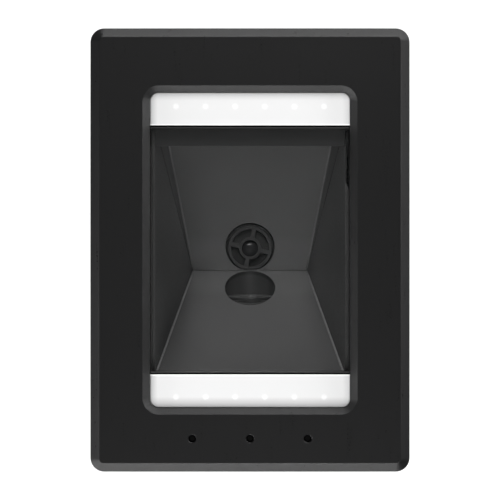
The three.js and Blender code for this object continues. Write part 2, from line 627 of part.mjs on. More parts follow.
// Rear housing: a drafted tub with screw towers, standoffs, ribs, foot seats and the cable opening.
function rearHousing() {
  const chamferZ = TUB_BASE_Z + BASE_CHAMFER;
  const outer = solidOf(loft([
    tubLevel(TUB_BASE_Z, BASE_CHAMFER),
    tubLevel(chamferZ, 0),
    tubLevel(TUB_TOP_Z, 0),
  ]));
  const cavity = solidOf(loft([
    tubLevel(TUB_FLOOR_Z, TUB_WALL),
    tubLevel(TUB_TOP_Z, TUB_WALL),
    { ...tubLevel(TUB_TOP_Z, TUB_WALL), z: TUB_TOP_Z + OVERRUN },
  ]));
  const tongueWidth = CASE_WIDTH - 2 * SHELL_WALL + 2 * TONGUE_WALL;
  const tongueLength = tongueWidth + CASE_LENGTH - CASE_WIDTH;
  const tongue = rectanglePrism(tongueWidth, tongueLength, CASE_CORNER - SHELL_WALL + TONGUE_WALL,
    TUB_TOP_Z - OVERRUN, TUB_TOP_Z + TONGUE_HEIGHT);
  const walls = cut(join(outer, tongue), cavity);
  const towers = fourCorners(TOWER_X, TOWER_Y).map(([x, y]) =>
    post(TOWER_RADIUS, x, y, TUB_BASE_Z + TUB_FLOOR / 2, TUB_TOP_Z));
  const wells = fourCorners(TOWER_X, TOWER_Y).map(([x, y]) =>
    post(WELL_RADIUS, x, y, TUB_BASE_Z - OVERRUN, SHOULDER_Z));
  const bores = fourCorners(TOWER_X, TOWER_Y).map(([x, y]) =>
    post(HOUSING_SCREW.shank + GAP, x, y, SHOULDER_Z - OVERRUN, TUB_TOP_Z + OVERRUN, SMALL_STEPS));
  const standoffs = boardScrewPlaces().map(([x, y]) =>
    post(STANDOFF_RADIUS, x, y, TUB_BASE_Z + TUB_FLOOR / 2, BOARD_Z, SMALL_STEPS));
  const pilots = boardScrewPlaces().map(([x, y]) =>
    post(BOARD_SCREW.shank + GAP, x, y, TUB_FLOOR_Z, BOARD_Z + OVERRUN, SMALL_STEPS));
  const seats = footPlaces().map(([x, y]) =>
    post(FOOT_RADIUS + GAP, x, y, TUB_BASE_Z - OVERRUN, TUB_BASE_Z + FOOT_RECESS));
  const soundHoles = soundHolePlaces().map(([x, y]) =>
    post(SOUND_HOLE_RADIUS, x, y, TUB_BASE_Z - OVERRUN, TUB_FLOOR_Z + GAP, SMALL_STEPS));
  const cableOpening = box(
    [-SOCKET_WIDTH / 2 - GAP, BOARD_END + GAP, BOARD_TOP_Z - GAP],
    [SOCKET_WIDTH / 2 + GAP, CASE_LENGTH / 2 + OVERRUN, BOARD_TOP_Z + SOCKET_HEIGHT + GAP]);
  const whole = join(walls, ...tubRibs(), ...towers, ...standoffs);
  return geometryOf(cut(whole, ...wells, ...bores, ...pilots, ...seats, ...soundHoles, cableOpening));
}

function tubRibs() {
  const top = TUB_TOP_Z - RIB_TOP_DROP;
  const low = TUB_BASE_Z + TUB_FLOOR / 2;
  const middle = (RIB_COUNT - 1) / 2;
  const sideRibs = [1, -1].flatMap((side) => Array.from({ length: RIB_COUNT }, (_, index) => {
    const y = (index - middle) * RIB_PITCH;
    const outside = tubWidth(low) / 2 - TUB_WALL / 2;
    const inside = outside - TUB_WALL / 2 - RIB_DEPTH;
    return box([Math.min(side * inside, side * outside), y - RIB_THICKNESS / 2, low],
      [Math.max(side * inside, side * outside), y + RIB_THICKNESS / 2, top]);
  }));
  const endRibs = [RIB_PITCH, -RIB_PITCH].map((x) => {
    const outside = tubLength(low) / 2 - TUB_WALL / 2;
    return box([x - RIB_THICKNESS / 2, -outside, low],
      [x + RIB_THICKNESS / 2, -outside + TUB_WALL / 2 + RIB_DEPTH, top]);
  });
  return [...sideRibs, ...endRibs];
}

function boardScrewPlaces() {
  const x = BOARD_WIDTH / 2 - STANDOFF_INSET;
  const near = BOARD_START + STANDOFF_INSET;
  const far = BOARD_END - STANDOFF_INSET;
  return [[x, near], [-x, near], [-x, far], [x, far]];
}

function footPlaces() {
  return fourCorners(CASE_WIDTH / 2 - FOOT_SIDE, CASE_LENGTH / 2 - FOOT_END);
}

function soundHolePlaces() {
  const ring = Array.from({ length: SOUND_HOLE_COUNT }, (_, index) => {
    const angle = index * 2 * Math.PI / SOUND_HOLE_COUNT;
    return [BUZZER_X + SOUND_HOLE_RING * Math.cos(angle), BUZZER_Y + SOUND_HOLE_RING * Math.sin(angle)];
  });
  return [[BUZZER_X, BUZZER_Y], ...ring];
}

function rubberFoot() {
  return turned([
    [0, 0],
    [FOOT_RADIUS - FOOT_BEVEL, 0],
    [FOOT_RADIUS, FOOT_BEVEL],
    [FOOT_RADIUS, FOOT_STANDOFF + FOOT_RECESS],
    [0, FOOT_STANDOFF + FOOT_RECESS],
  ], MEDIUM_STEPS);
}

// Optical chamber: floor, side walls, mirror frame, camera tube, ledge deck and two light boxes.
function opticalChamber() {
  const sideOffset = SIDE_WALL / Math.cos(SIDE_SPREAD);
  const shell = wedge({ floorOffset: FLOOR_WALL, mirrorOffset: FRAME_BACK, sideOffset,
    endOffset: BOX_INNER_WALL, top: LEDGE_Z });
  const deckLength = 2 * BOX_FAR_Y;
  const deck = rectanglePrism(DECK_WIDTH, deckLength, DECK_CORNER, LEDGE_Z - DECK_PLATE, LEDGE_Z);
  const ears = fourCorners(CHAMBER_EAR_X, CHAMBER_EAR_Y).map(([x, y]) =>
    post(CHAMBER_EAR_RADIUS, x, y, LEDGE_Z - DECK_PLATE, LEDGE_Z));
  const earHoles = fourCorners(CHAMBER_EAR_X, CHAMBER_EAR_Y).map(([x, y]) =>
    post(CHAMBER_SCREW.shank + GAP, x, y, LEDGE_Z - DECK_PLATE - OVERRUN, LEDGE_Z + OVERRUN, SMALL_STEPS));
  const frameTop = MIRROR_TOP + FRAME_MARGIN;
  const frame = mirrorSlab(-GAP, frameTop, FRAME_MARGIN, -FRAME_BACK, FRAME_FRONT);
  const underBoxes = box(
    [-CASE_WIDTH, -CASE_LENGTH, -CASE_WIDTH],
    [CASE_WIDTH, CASE_LENGTH, BOX_POCKET_Z - BOX_FLOOR / 2]);
  const mirrorRails = solidOf(frame.applyMatrix4(mirrorFrame.matrix)).intersect(underBoxes);
  const frameEars = earPlaces().map(([x, distance]) => solidOf(
    postGeometry(EAR_RADIUS, x, distance, -FRAME_BACK, FRAME_FRONT, SMALL_STEPS)
      .applyMatrix4(mirrorFrame.matrix)));
  const pegs = earPair(EAR_LOW).map(([x, distance]) => solidOf(
    postGeometry(PEG_RADIUS, x, distance, -FRAME_BACK - 2 * GAP - BRACKET_THICKNESS, FRAME_FRONT,
      SMALL_STEPS).applyMatrix4(mirrorFrame.matrix)));
  const frameEarHoles = earPair(EAR_HIGH).map(([x, distance]) => solidOf(
    postGeometry(BRACKET_SCREW.shank + GAP, x, distance, -FRAME_BACK - OVERRUN,
      FRAME_FRONT + OVERRUN, SMALL_STEPS).applyMatrix4(mirrorFrame.matrix)));
  const mirrorPocket = solidOf(mirrorSlab(MIRROR_TOE - GAP, MIRROR_TOP + GAP, MIRROR_MARGIN + GAP,
    -FRAME_BACK - OVERRUN - BRACKET_THICKNESS, GAP).applyMatrix4(mirrorFrame.matrix));
  const space = wedge({ floorOffset: 0, mirrorOffset: 0, sideOffset: 0, endOffset: 0,
    top: LEDGE_Z + OVERRUN });
  const whole = join(shell, deck, ...ears, mirrorRails, ...frameEars, ...lightBoxes(), ...cameraMount());
  const bored = cut(whole, space, mirrorPocket, boreTool(), ...lightPockets(), cableNotch(),
    ...earHoles, ...frameEarHoles, ...cameraPilots(), ...lightPilots());
  return geometryOf(join(bored, mirrorLip(), ...pegs));
}

// The shelf across the rear end of the chamber that covers the top of the mirror.
function mirrorLip() {
  const half = LEDGE_HALF + RUNNING_CLEARANCE;
  const top = LEDGE_Z - MIRROR_LIP_DROP;
  return box([-half, END_WALL_Y - MIRROR_LIP_REACH, top - MIRROR_LIP_THICKNESS],
    [half, END_WALL_Y + BOX_INNER_WALL / 2, top]);
}

function boreTool() {
  const tool = new THREE.CylinderGeometry(BORE_RADIUS, BORE_RADIUS,
    BORE_SETBACK + TUBE_REAR + OVERRUN, FINE_STEPS);
  tool.translate(0, (BORE_SETBACK - TUBE_REAR - OVERRUN) / 2, 0);
  return solidOf(tool.applyMatrix4(boreFrame.matrix));
}

// The tube round the bore and two ears, each with a web, that carry the camera board.
function cameraMount() {
  const tube = new THREE.CylinderGeometry(BORE_RADIUS + TUBE_WALL, BORE_RADIUS + TUBE_WALL,
    TUBE_FRONT + TUBE_REAR, FINE_STEPS);
  tube.translate(0, (TUBE_FRONT - TUBE_REAR) / 2, 0);
  const pieces = [solidOf(tube.applyMatrix4(boreFrame.matrix))];
  const earEnd = -LENS_SETBACK - BOARD_SETBACK + GAP;
  [1, -1].forEach((side) => {
    const x = side * CAMERA_EAR_SPACING / 2;
    const ear = new THREE.CylinderGeometry(CAMERA_EAR_RADIUS, CAMERA_EAR_RADIUS, -earEnd, SMALL_STEPS);
    ear.translate(x, earEnd / 2, -LENS_DROP);
    const web = boxGeometry(
      [Math.min(x, side * (BORE_RADIUS + TUBE_WALL / 2)), -TUBE_REAR, -LENS_DROP - CAMERA_EAR_WEB / 2],
      [Math.max(x, side * (BORE_RADIUS + TUBE_WALL / 2)), 0, -LENS_DROP + CAMERA_EAR_WEB / 2]);
    pieces.push(solidOf(ear.applyMatrix4(boreFrame.matrix)));
    pieces.push(solidOf(web.applyMatrix4(boreFrame.matrix)));
  });
  return pieces;
}

function cameraPilots() {
  const earEnd = -LENS_SETBACK - BOARD_SETBACK;
  return [1, -1].map((side) => {
    const tool = new THREE.CylinderGeometry(CAMERA_SCREW.shank + GAP, CAMERA_SCREW.shank + GAP,
      CAMERA_SCREW.length + OVERRUN, SMALL_STEPS);
    tool.translate(side * CAMERA_EAR_SPACING / 2, earEnd + (CAMERA_SCREW.length - OVERRUN) / 2, -LENS_DROP);
    return solidOf(tool.applyMatrix4(boreFrame.matrix));
  });
}

// A box between two distances along Y on one side of the middle.
function sideBox(side, half, near, far, low, high) {
  return box([-half, Math.min(side * near, side * far), low],
    [half, Math.max(side * near, side * far), high]);
}

function lightBoxes() {
  return [1, -1].flatMap((side) => [
    sideBox(side, BOX_HALF, END_WALL_Y, BOX_FAR_Y, BOX_BOTTOM_Z, BOX_TOP_Z),
    sideBox(side, OPENING_WIDTH / 2 - GAP, END_WALL_Y, END_WALL_Y + PANEL_LIP,
      BOX_TOP_Z - DECK_PLATE, PANEL_TOP_Z - PANEL_LIP_DROP),
  ]);
}

function lightPockets() {
  return [1, -1].flatMap((side) => {
    const slotNear = LIGHT_ROW_Y + LIGHT_SCREW_OFFSET - LEAD_SLOT_DEPTH / 2;
    const slotFar = slotNear + LEAD_SLOT_DEPTH;
    return [
      sideBox(side, POCKET_HALF, POCKET_NEAR_Y, POCKET_FAR_Y, BOX_POCKET_Z, BOX_TOP_Z + OVERRUN),
      box([LEAD_X - LEAD_SLOT_WIDTH / 2, Math.min(side * slotNear, side * slotFar), BOX_BOTTOM_Z - OVERRUN],
        [LEAD_X + LEAD_SLOT_WIDTH / 2, Math.max(side * slotNear, side * slotFar), BOX_POCKET_Z + OVERRUN]),
    ];
  });
}

// The slot in the right ledge beside the upper light box, with a slanting front end.
function cableNotch() {
  const far = END_WALL_Y - PANEL_LIP;
  const near = far - NOTCH_LENGTH;
  const shape = new THREE.Shape();
  shape.moveTo(OPENING_WIDTH / 2 - NOTCH_WIDTH, near + NOTCH_SLANT);
  shape.lineTo(OPENING_WIDTH / 2, near);
  shape.lineTo(OPENING_WIDTH / 2, far);
  shape.lineTo(OPENING_WIDTH / 2 - NOTCH_WIDTH, far);
  shape.closePath();
  const depth = DECK_PLATE + 2 * OVERRUN;
  const tool = new THREE.ExtrudeGeometry(shape, { depth, bevelEnabled: false });
  return solidOf(tool.translate(0, 0, LEDGE_Z + OVERRUN - depth));
}

function lightScrewPlaces(side) {
  const y = side * LIGHT_ROW_Y;
  return [[LIGHT_SCREW_SPACING / 2, y], [-LIGHT_SCREW_SPACING / 2, y]];
}

function lightPilots() {
  return [1, -1].flatMap((side) => lightScrewPlaces(side).map(([x, y]) =>
    post(LIGHT_SCREW.shank + GAP, x, y, BOX_BOTTOM_Z - OVERRUN, BOX_POCKET_Z + OVERRUN, SMALL_STEPS)));
}

// Outline of a light panel: square at the inner edge and round at the two outer corners.
function panelOutline(half, near, far, radius) {
  const quarter = Math.PI / 2;
  return [
    new THREE.Vector2(half, near),
    ...arcPoints(half - radius, far - radius, radius, 0, quarter),
    ...arcPoints(-half + radius, far - radius, radius, quarter, 2 * quarter),
    new THREE.Vector2(-half, near),
  ];
}

// Diffuser: a plate that fills the end of the opening, on a wider flange under the rim.
function diffuser(side) {
  const near = END_WALL_Y + PANEL_LIP + PANEL_CLEARANCE;
  const far = OPENING_LENGTH / 2 - PANEL_CLEARANCE;
  const half = OPENING_WIDTH / 2 - PANEL_CLEARANCE;
  const radius = OPENING_CORNER - PANEL_CLEARANCE / 2;
  const flangeHalf = POCKET_HALF + BOX_WALL / 2;
  const flangeFar = POCKET_FAR_Y + BOX_WALL / 2;
  const flange = loft([
    { outline: panelOutline(flangeHalf, near, flangeFar, radius), z: PANEL_BOTTOM_Z },
    { outline: panelOutline(flangeHalf, near, flangeFar, radius), z: PANEL_FLANGE_Z },
  ]);
  const plate = loft([
    { outline: panelOutline(half, near, far, radius), z: PANEL_BOTTOM_Z },
    { outline: panelOutline(half, near, far, radius), z: PANEL_TOP_Z - PANEL_BEVEL },
    { outline: panelOutline(half - PANEL_BEVEL, near + PANEL_BEVEL / 2, far - PANEL_BEVEL,
      radius - PANEL_BEVEL / 2), z: PANEL_TOP_Z },
  ]);
  const whole = geometryOf(join(solidOf(flange), solidOf(plate)));
  return side > 0 ? whole : whole.rotateZ(Math.PI);
}

// Light board: a strip with two screw holes and a row of light packages soldered to it.
function lightBoard(side) {
  const y = side * LIGHT_ROW_Y;
  const board = box(
    [-LIGHT_BOARD_LENGTH / 2, y - LIGHT_BOARD_WIDTH / 2, LIGHT_BOARD_Z],
    [LIGHT_BOARD_LENGTH / 2, y + LIGHT_BOARD_WIDTH / 2, LIGHT_Z]);
  const holes = lightScrewPlaces(side).map(([x, holeY]) =>
    post(LIGHT_SCREW.shank + GAP, x, holeY, LIGHT_BOARD_Z - OVERRUN, LIGHT_Z + OVERRUN, SMALL_STEPS));
  return geometryOf(join(cut(board, ...holes), ...lights(side)));
}

function lights(side) {
  const y = side * LIGHT_ROW_Y + LIGHT_ROW_SHIFT;
  const middle = (LIGHT_COUNT - 1) / 2;
  return Array.from({ length: LIGHT_COUNT }, (_, index) => {
    const x = (index - middle) * LIGHT_PITCH;
    return box([x - LIGHT_SIZE / 2, y - LIGHT_SIZE / 2, LIGHT_Z - GAP],
      [x + LIGHT_SIZE / 2, y + LIGHT_SIZE / 2, LIGHT_Z + LIGHT_HEIGHT]);
  });
}

function windowGlass() {
  const width = OPENING_WIDTH - 2 * GAP;
  const length = 2 * (END_WALL_Y - GAP);
  return loft([
    rectangleLevel(width, length, OPENING_CORNER / 2, GLASS_Z),
    rectangleLevel(width, length, OPENING_CORNER / 2, GLASS_Z + WINDOW_THICKNESS),
  ]);
}

// Tape strip on a side ledge. The right one stops short of the cable notch.
function windowTape(side) {
  const inside = LEDGE_HALF + TAPE_INSET;
  const outside = OPENING_WIDTH / 2 - GAP;
  const end = END_WALL_Y - 2 * GAP;
  const notchEnd = END_WALL_Y - PANEL_LIP - NOTCH_LENGTH - GAP;
  return boxGeometry([Math.min(side * inside, side * outside), -end, LEDGE_Z],
    [Math.max(side * inside, side * outside), side > 0 ? notchEnd : end, GLASS_Z]);
}

function foldMirror() {
  return mirrorSlab(MIRROR_TOE, MIRROR_TOP, MIRROR_MARGIN, -MIRROR_THICKNESS, 0);
}

// Foam strip across the back of the mirror, under one of the bracket's bars.
function mirrorPad(distance) {
  const back = -MIRROR_THICKNESS - GAP;
  return mirrorSlab(distance - PAD_WIDTH / 2, distance + PAD_WIDTH / 2, -PAD_INSET, back - PAD_THICKNESS,
    back);
}

// Bracket behind the mirror: a trapezium frame with a cross bar, two peg ears and two screw ears.
function mirrorBracket() {
  const front = -FRAME_BACK - GAP;
  const back = front - BRACKET_THICKNESS;
  const plate = solidOf(mirrorSlab(BRACKET_START, BRACKET_END, FRAME_MARGIN, back, front));
  const middle = (BRACKET_START + BRACKET_END) / 2;
  const windows = [
    mirrorSlab(BRACKET_START + BRACKET_BAR, middle - BRACKET_BAR / 2, -BRACKET_BAR, back - OVERRUN,
      front + OVERRUN),
    mirrorSlab(middle + BRACKET_BAR / 2, BRACKET_END - BRACKET_BAR, -BRACKET_BAR, back - OVERRUN,
      front + OVERRUN),
  ].map(solidOf);
  const ears = earPlaces().map(([x, distance]) =>
    post(EAR_RADIUS, x, distance, back, front, SMALL_STEPS));
  const holes = earPlaces().map(([x, distance]) =>
    post(PEG_RADIUS + GAP, x, distance, back - OVERRUN, front + OVERRUN, SMALL_STEPS));
  return geometryOf(cut(join(plate, ...ears), ...windows, ...holes));
}

// Lens barrel: a front rim with four arc slots round the aperture, and a threaded body behind.
function lensBarrel() {
  const body = solidOf(turnedRing([
    [LENS_APERTURE_RADIUS, -LENS_LIP],
    [LENS_BORE_RADIUS, -LENS_LIP],
    [LENS_BORE_RADIUS, -LENS_SEAT_DEPTH],
    [LENS_REAR_RADIUS, -LENS_SEAT_DEPTH],
    [LENS_REAR_RADIUS, -LENS_LENGTH],
    [LENS_THREAD_RADIUS, -LENS_LENGTH],
    [LENS_THREAD_RADIUS, -LENS_RIM_DEPTH],
    [LENS_RIM_RADIUS, -LENS_RIM_DEPTH],
    [LENS_RIM_RADIUS, -LENS_RIM_BEVEL],
    [LENS_RIM_RADIUS - LENS_RIM_BEVEL, 0],
    [LENS_APERTURE_RADIUS, 0],
  ]));
  const ring = solidOf(turnedRing([
    [SLOT_INNER_RADIUS, OVERRUN],
    [SLOT_INNER_RADIUS, -SLOT_DEPTH],
    [SLOT_OUTER_RADIUS, -SLOT_DEPTH],
    [SLOT_OUTER_RADIUS, OVERRUN],
  ]));
  const spokes = [0, 1].map((quarter) => {
    const bar = boxGeometry([-SPOKE_WIDTH / 2, -LENS_RIM_DEPTH, -LENS_RIM_RADIUS],
      [SPOKE_WIDTH / 2, 2 * OVERRUN, LENS_RIM_RADIUS]);
    return solidOf(bar.rotateY(SPOKE_TURN + quarter * Math.PI / 2));
  });
  return geometryOf(cut(body, cut(ring, ...spokes)));
}

// Front element: a disc with a domed front that shows in the aperture.
function lensGlass() {
  const rim = LENS_BORE_RADIUS - RUNNING_CLEARANCE;
  const face = -LENS_LIP - RUNNING_CLEARANCE;
  const inner = LENS_APERTURE_RADIUS - RUNNING_CLEARANCE;
  const dome = Array.from({ length: CORNER_STEPS + 2 }, (_, index) => {
    const share = 1 - index / (CORNER_STEPS + 1);
    return [inner * share, face + GLASS_CROWN * (1 - share * share)];
  });
  return turned([
    [0, -LENS_SEAT_DEPTH + RUNNING_CLEARANCE],
    [rim, -LENS_SEAT_DEPTH + RUNNING_CLEARANCE],
    [rim, face],
    ...dome,
  ], MEDIUM_STEPS);
}

function lensLockRing() {
  const inner = LENS_THREAD_RADIUS + RUNNING_CLEARANCE;
  const back = -LOCK_RING_FRONT - LOCK_RING_THICKNESS;
  return turnedRing([
    [inner, -LOCK_RING_FRONT],
    [LOCK_RING_RADIUS, -LOCK_RING_FRONT],
    [LOCK_RING_RADIUS, back],
    [inner, back],
  ].reverse());
}

function lensHolder() {
  const flangeFront = -BOARD_SETBACK + GAP + HOLDER_FLANGE_THICKNESS;
  const flangeBack = -BOARD_SETBACK + GAP;
  const half = HOLDER_FLANGE / 2;
  const tube = new THREE.CylinderGeometry(HOLDER_RADIUS, HOLDER_RADIUS, -flangeFront - HOLDER_FRONT + GAP,
    FINE_STEPS).translate(0, (flangeFront - HOLDER_FRONT - GAP) / 2, 0);
  const flange = boxGeometry([-half, flangeBack, -half], [half, flangeFront, half]);
  const inner = LENS_THREAD_RADIUS + RUNNING_CLEARANCE;
  const bore = new THREE.CylinderGeometry(inner, inner, BOARD_SETBACK, FINE_STEPS)
    .translate(0, -BOARD_SETBACK / 2, 0);
  const cavityHalf = HOLDER_CAVITY / 2;
  const cavity = boxGeometry([-cavityHalf, flangeBack - OVERRUN, -cavityHalf],
    [cavityHalf, flangeBack + HOLDER_CAVITY_DEPTH, cavityHalf]);
  const pilots = holderScrewPlaces().map(([x, z]) => solidOf(
    new THREE.CylinderGeometry(HOLDER_SCREW.shank + GAP, HOLDER_SCREW.shank + GAP,
      2 * HOLDER_FLANGE_THICKNESS, SMALL_STEPS).translate(x, flangeBack, z)));
  return geometryOf(cut(join(solidOf(tube), solidOf(flange)), solidOf(bore), solidOf(cavity), ...pilots));
}

function holderScrewPlaces() {
  const half = HOLDER_SCREW_SPACING / 2;
  return [[half, half], [-half, -half]];
}

function cameraScrewPlaces() {
  return [[CAMERA_EAR_SPACING / 2, 0], [-CAMERA_EAR_SPACING / 2, 0]];
}

function imageSensor() {
  const half = SENSOR_SIZE / 2;
  const back = -BOARD_SETBACK + GAP;
  return boxGeometry([-half, back, -half], [half, back + SENSOR_THICKNESS, half]);
}

function cameraBoard() {
  const board = box([-CAMERA_BOARD_WIDTH / 2, -BOARD_SETBACK - CAMERA_BOARD_THICKNESS,
    -CAMERA_BOARD_HEIGHT / 2], [CAMERA_BOARD_WIDTH / 2, -BOARD_SETBACK, CAMERA_BOARD_HEIGHT / 2]);
  const drill = (radius) => ([x, z]) => solidOf(new THREE.CylinderGeometry(radius, radius,
    CAMERA_BOARD_THICKNESS + 2 * OVERRUN, SMALL_STEPS).translate(x, -BOARD_SETBACK, z));
  return geometryOf(cut(board, ...holderScrewPlaces().map(drill(HOLDER_SCREW.shank + GAP)),
    ...cameraScrewPlaces().map(drill(CAMERA_SCREW.shank + GAP))));
}

// A flat ribbon of even thickness that follows a smooth route in an upright plane along Y.
function ribbon(route, x, width) {
  const curve = new THREE.SplineCurve(route.map(([y, z]) => new THREE.Vector2(y, z)));
  const spots = Array.from({ length: RIBBON_STEPS + 1 }, (_, index) => index / RIBBON_STEPS);
  const side = (sign) => spots.map((spot) => {
    const tangent = curve.getTangentAt(spot);
    const normal = new THREE.Vector2(-tangent.y, tangent.x);
    return curve.getPointAt(spot).addScaledVector(normal, sign * RIBBON_THICKNESS / 2);
  });
  const shape = new THREE.Shape([...side(-1), ...side(1).reverse()]);
  const geometry = new THREE.ExtrudeGeometry(shape, { depth: width, bevelEnabled: false });
  geometry.rotateY(Math.PI / 2).rotateX(Math.PI / 2);
  return geometry.translate(x - width / 2, 0, 0);
}

// The last stretch of a run that comes along the floor to the front edge of the main board.
function runToBoard() {
  return [
    [BOARD_START - 3 * RUN_BEND, RUN_Z],
    [BOARD_START - 2 * RUN_BEND, RUN_Z],
    [BOARD_START - RUN_BEND, RUN_Z + RUN_RISE / 3],
    [BOARD_START - RUN_BEND / 2, PLUG_Z - RUN_RISE / 2],
    [BOARD_START, PLUG_Z],
  ];
}

// A lead that drops from a height behind the front wall and then runs along the floor.
function frontLead(x, y, top) {
  return ribbon([
    [y, top],
    [y, (top + RUN_Z) / 2],
    [y, RUN_Z + RUN_BEND],
    [y + RUN_BEND, RUN_Z],
    ...runToBoard(),
  ], x, LEAD_WIDTH);
}

function lowerLightLead() {
  return frontLead(LEAD_X, -LIGHT_ROW_Y - LIGHT_SCREW_OFFSET, BOX_POCKET_Z);
}

function indicatorLead() {
  return frontLead(-LEAD_X, INDICATOR_Y, INDICATOR_BOARD_Z - GAP);
}

function upperLightLead() {
  const y = LIGHT_ROW_Y + LIGHT_SCREW_OFFSET;
  const low = BOARD_TOP_Z + CONNECTOR_HEIGHT + GAP;
  return ribbon([[y, BOX_POCKET_Z], [y, (BOX_POCKET_Z + low) / 2], [y, low]], LEAD_X, LEAD_WIDTH);
}

function cameraFlex() {
  const boardBack = VALLEY_Y - BORE_SETBACK - LENS_SETBACK - BOARD_SETBACK - CAMERA_BOARD_THICKNESS;
  const start = boardBack - CAMERA_FLEX_BACK;
  const startZ = CAMERA_Z - CAMERA_BOARD_HEIGHT / 4;
  return ribbon([
    [start, startZ],
    [start - CAMERA_FLEX_LOOP / 2, (startZ + RUN_Z) / 2],
    [start + CAMERA_FLEX_LOOP / 2, RUN_Z],
    [start + CAMERA_FLEX_LOOP + RUN_BEND, RUN_Z],
    ...runToBoard(),
  ], 0, FLEX_WIDTH);
}

function mainBoard() {
  const board = box([-BOARD_WIDTH / 2, BOARD_START, BOARD_Z], [BOARD_WIDTH / 2, BOARD_END, BOARD_TOP_Z]);
  const holes = boardScrewPlaces().map(([x, y]) =>
    post(BOARD_SCREW.shank + GAP, x, y, BOARD_Z - OVERRUN, BOARD_TOP_Z + OVERRUN, SMALL_STEPS));
  return geometryOf(join(cut(board, ...holes), ...smallChips(), ...boardConnectors()));
}

// A package on the main board, by its centre, width, length and height.
function packageAt(x, y, width, length, height, base) {
  return boxGeometry([x - width / 2, y - length / 2, base],
    [x + width / 2, y + length / 2, BOARD_TOP_Z + height]);
}

// The memory and the light driver, soldered beside the processor.
function smallChips() {
  const base = BOARD_TOP_Z - GAP;
  return [
    packageAt(MEMORY_X, CHIP_ROW_Y, MEMORY_WIDTH, MEMORY_LENGTH, CHIP_HEIGHT, base),
    packageAt(DRIVER_X, CHIP_ROW_Y, DRIVER_SIZE, DRIVER_SIZE, CHIP_HEIGHT, base),
  ].map(solidOf);
}

function processor() {
  return packageAt(0, CHIP_ROW_Y, PROCESSOR_SIZE, PROCESSOR_SIZE, CHIP_HEIGHT, BOARD_TOP_Z);
}

function boardConnectors() {
  const base = BOARD_TOP_Z - GAP;
  const nearY = BOARD_START + CONNECTOR_DEPTH / 2 + GAP;
  const farY = LIGHT_ROW_Y + LIGHT_SCREW_OFFSET;
  const places = [
    [0, nearY, FLEX_WIDTH],
    [LEAD_X, nearY, LEAD_WIDTH],
    [-LEAD_X, nearY, LEAD_WIDTH],
    [LEAD_X, farY, LEAD_WIDTH],
  ];
  return places.map(([x, y, width]) =>
    solidOf(packageAt(x, y, width + CONNECTOR_DEPTH, CONNECTOR_DEPTH, CONNECTOR_HEIGHT, base)));
}

function buzzer() {
  return postGeometry(BUZZER_RADIUS, BUZZER_X, BUZZER_Y, BOARD_Z - BUZZER_HEIGHT, BOARD_Z, MEDIUM_STEPS);
}

// Modular socket with a mouth towards the rear and a latch groove under it.
function interfaceSocket() {
  const front = socketFront();
  const half = SOCKET_WIDTH / 2;
  const body = box([-half, front - SOCKET_LENGTH, BOARD_TOP_Z],
    [half, front, BOARD_TOP_Z + SOCKET_HEIGHT]);
  const mouthZ = BOARD_TOP_Z + SOCKET_FLOOR;
  const mouth = box([-SOCKET_MOUTH_WIDTH / 2, front - SOCKET_MOUTH_DEPTH, mouthZ],
    [SOCKET_MOUTH_WIDTH / 2, front + OVERRUN, mouthZ + SOCKET_MOUTH_HEIGHT]);
  const latch = box([-SOCKET_LATCH_WIDTH / 2, front - SOCKET_MOUTH_DEPTH, mouthZ - SOCKET_LATCH_HEIGHT],
    [SOCKET_LATCH_WIDTH / 2, front + OVERRUN, mouthZ + SOCKET_LATCH_HEIGHT]);
  return geometryOf(join(cut(body, mouth, latch), ...socketContacts()));
}

function socketFront() {
  return BOARD_END + SOCKET_PROUD + TUB_WALL;
}

// Sprung contact wires that slope down from the back of the mouth under its ceiling.
function socketContacts() {
  const middle = (CONTACT_COUNT - 1) / 2;
  const back = socketFront() - SOCKET_MOUTH_DEPTH - GAP;
  const top = BOARD_TOP_Z + SOCKET_FLOOR + SOCKET_MOUTH_HEIGHT - GAP;
  return Array.from({ length: CONTACT_COUNT }, (_, index) => {
    const wire = new THREE.BoxGeometry(CONTACT_WIRE, CONTACT_LENGTH, CONTACT_WIRE);
    wire.translate(0, CONTACT_LENGTH / 2, -CONTACT_WIRE / 2);
    return solidOf(wire.rotateX(-CONTACT_SLOPE).translate((index - middle) * CONTACT_PITCH, back, top));
  });
}

function indicatorBoard() {
  const board = box([-INDICATOR_BOARD_LENGTH / 2, INDICATOR_Y - INDICATOR_BOARD_WIDTH / 2,
    INDICATOR_BOARD_Z], [INDICATOR_BOARD_LENGTH / 2, INDICATOR_Y + INDICATOR_BOARD_WIDTH / 2,
    INDICATOR_LIGHT_Z]);
  const holes = [INDICATOR_BOSS_X, -INDICATOR_BOSS_X].map((x) => post(INDICATOR_SCREW.shank + GAP, x,
    INDICATOR_Y, INDICATOR_BOARD_Z - OVERRUN, INDICATOR_LIGHT_Z + OVERRUN, SMALL_STEPS));
  const half = INDICATOR_LIGHT_SIZE / 2;
  const lightsOnBoard = indicatorPlaces().map(([x, y]) => box([x - half, y - half, INDICATOR_LIGHT_Z - GAP],
    [x + half, y + half, INDICATOR_LIGHT_Z + INDICATOR_LIGHT_HEIGHT]));
  return geometryOf(join(cut(board, ...holes), ...lightsOnBoard));
}

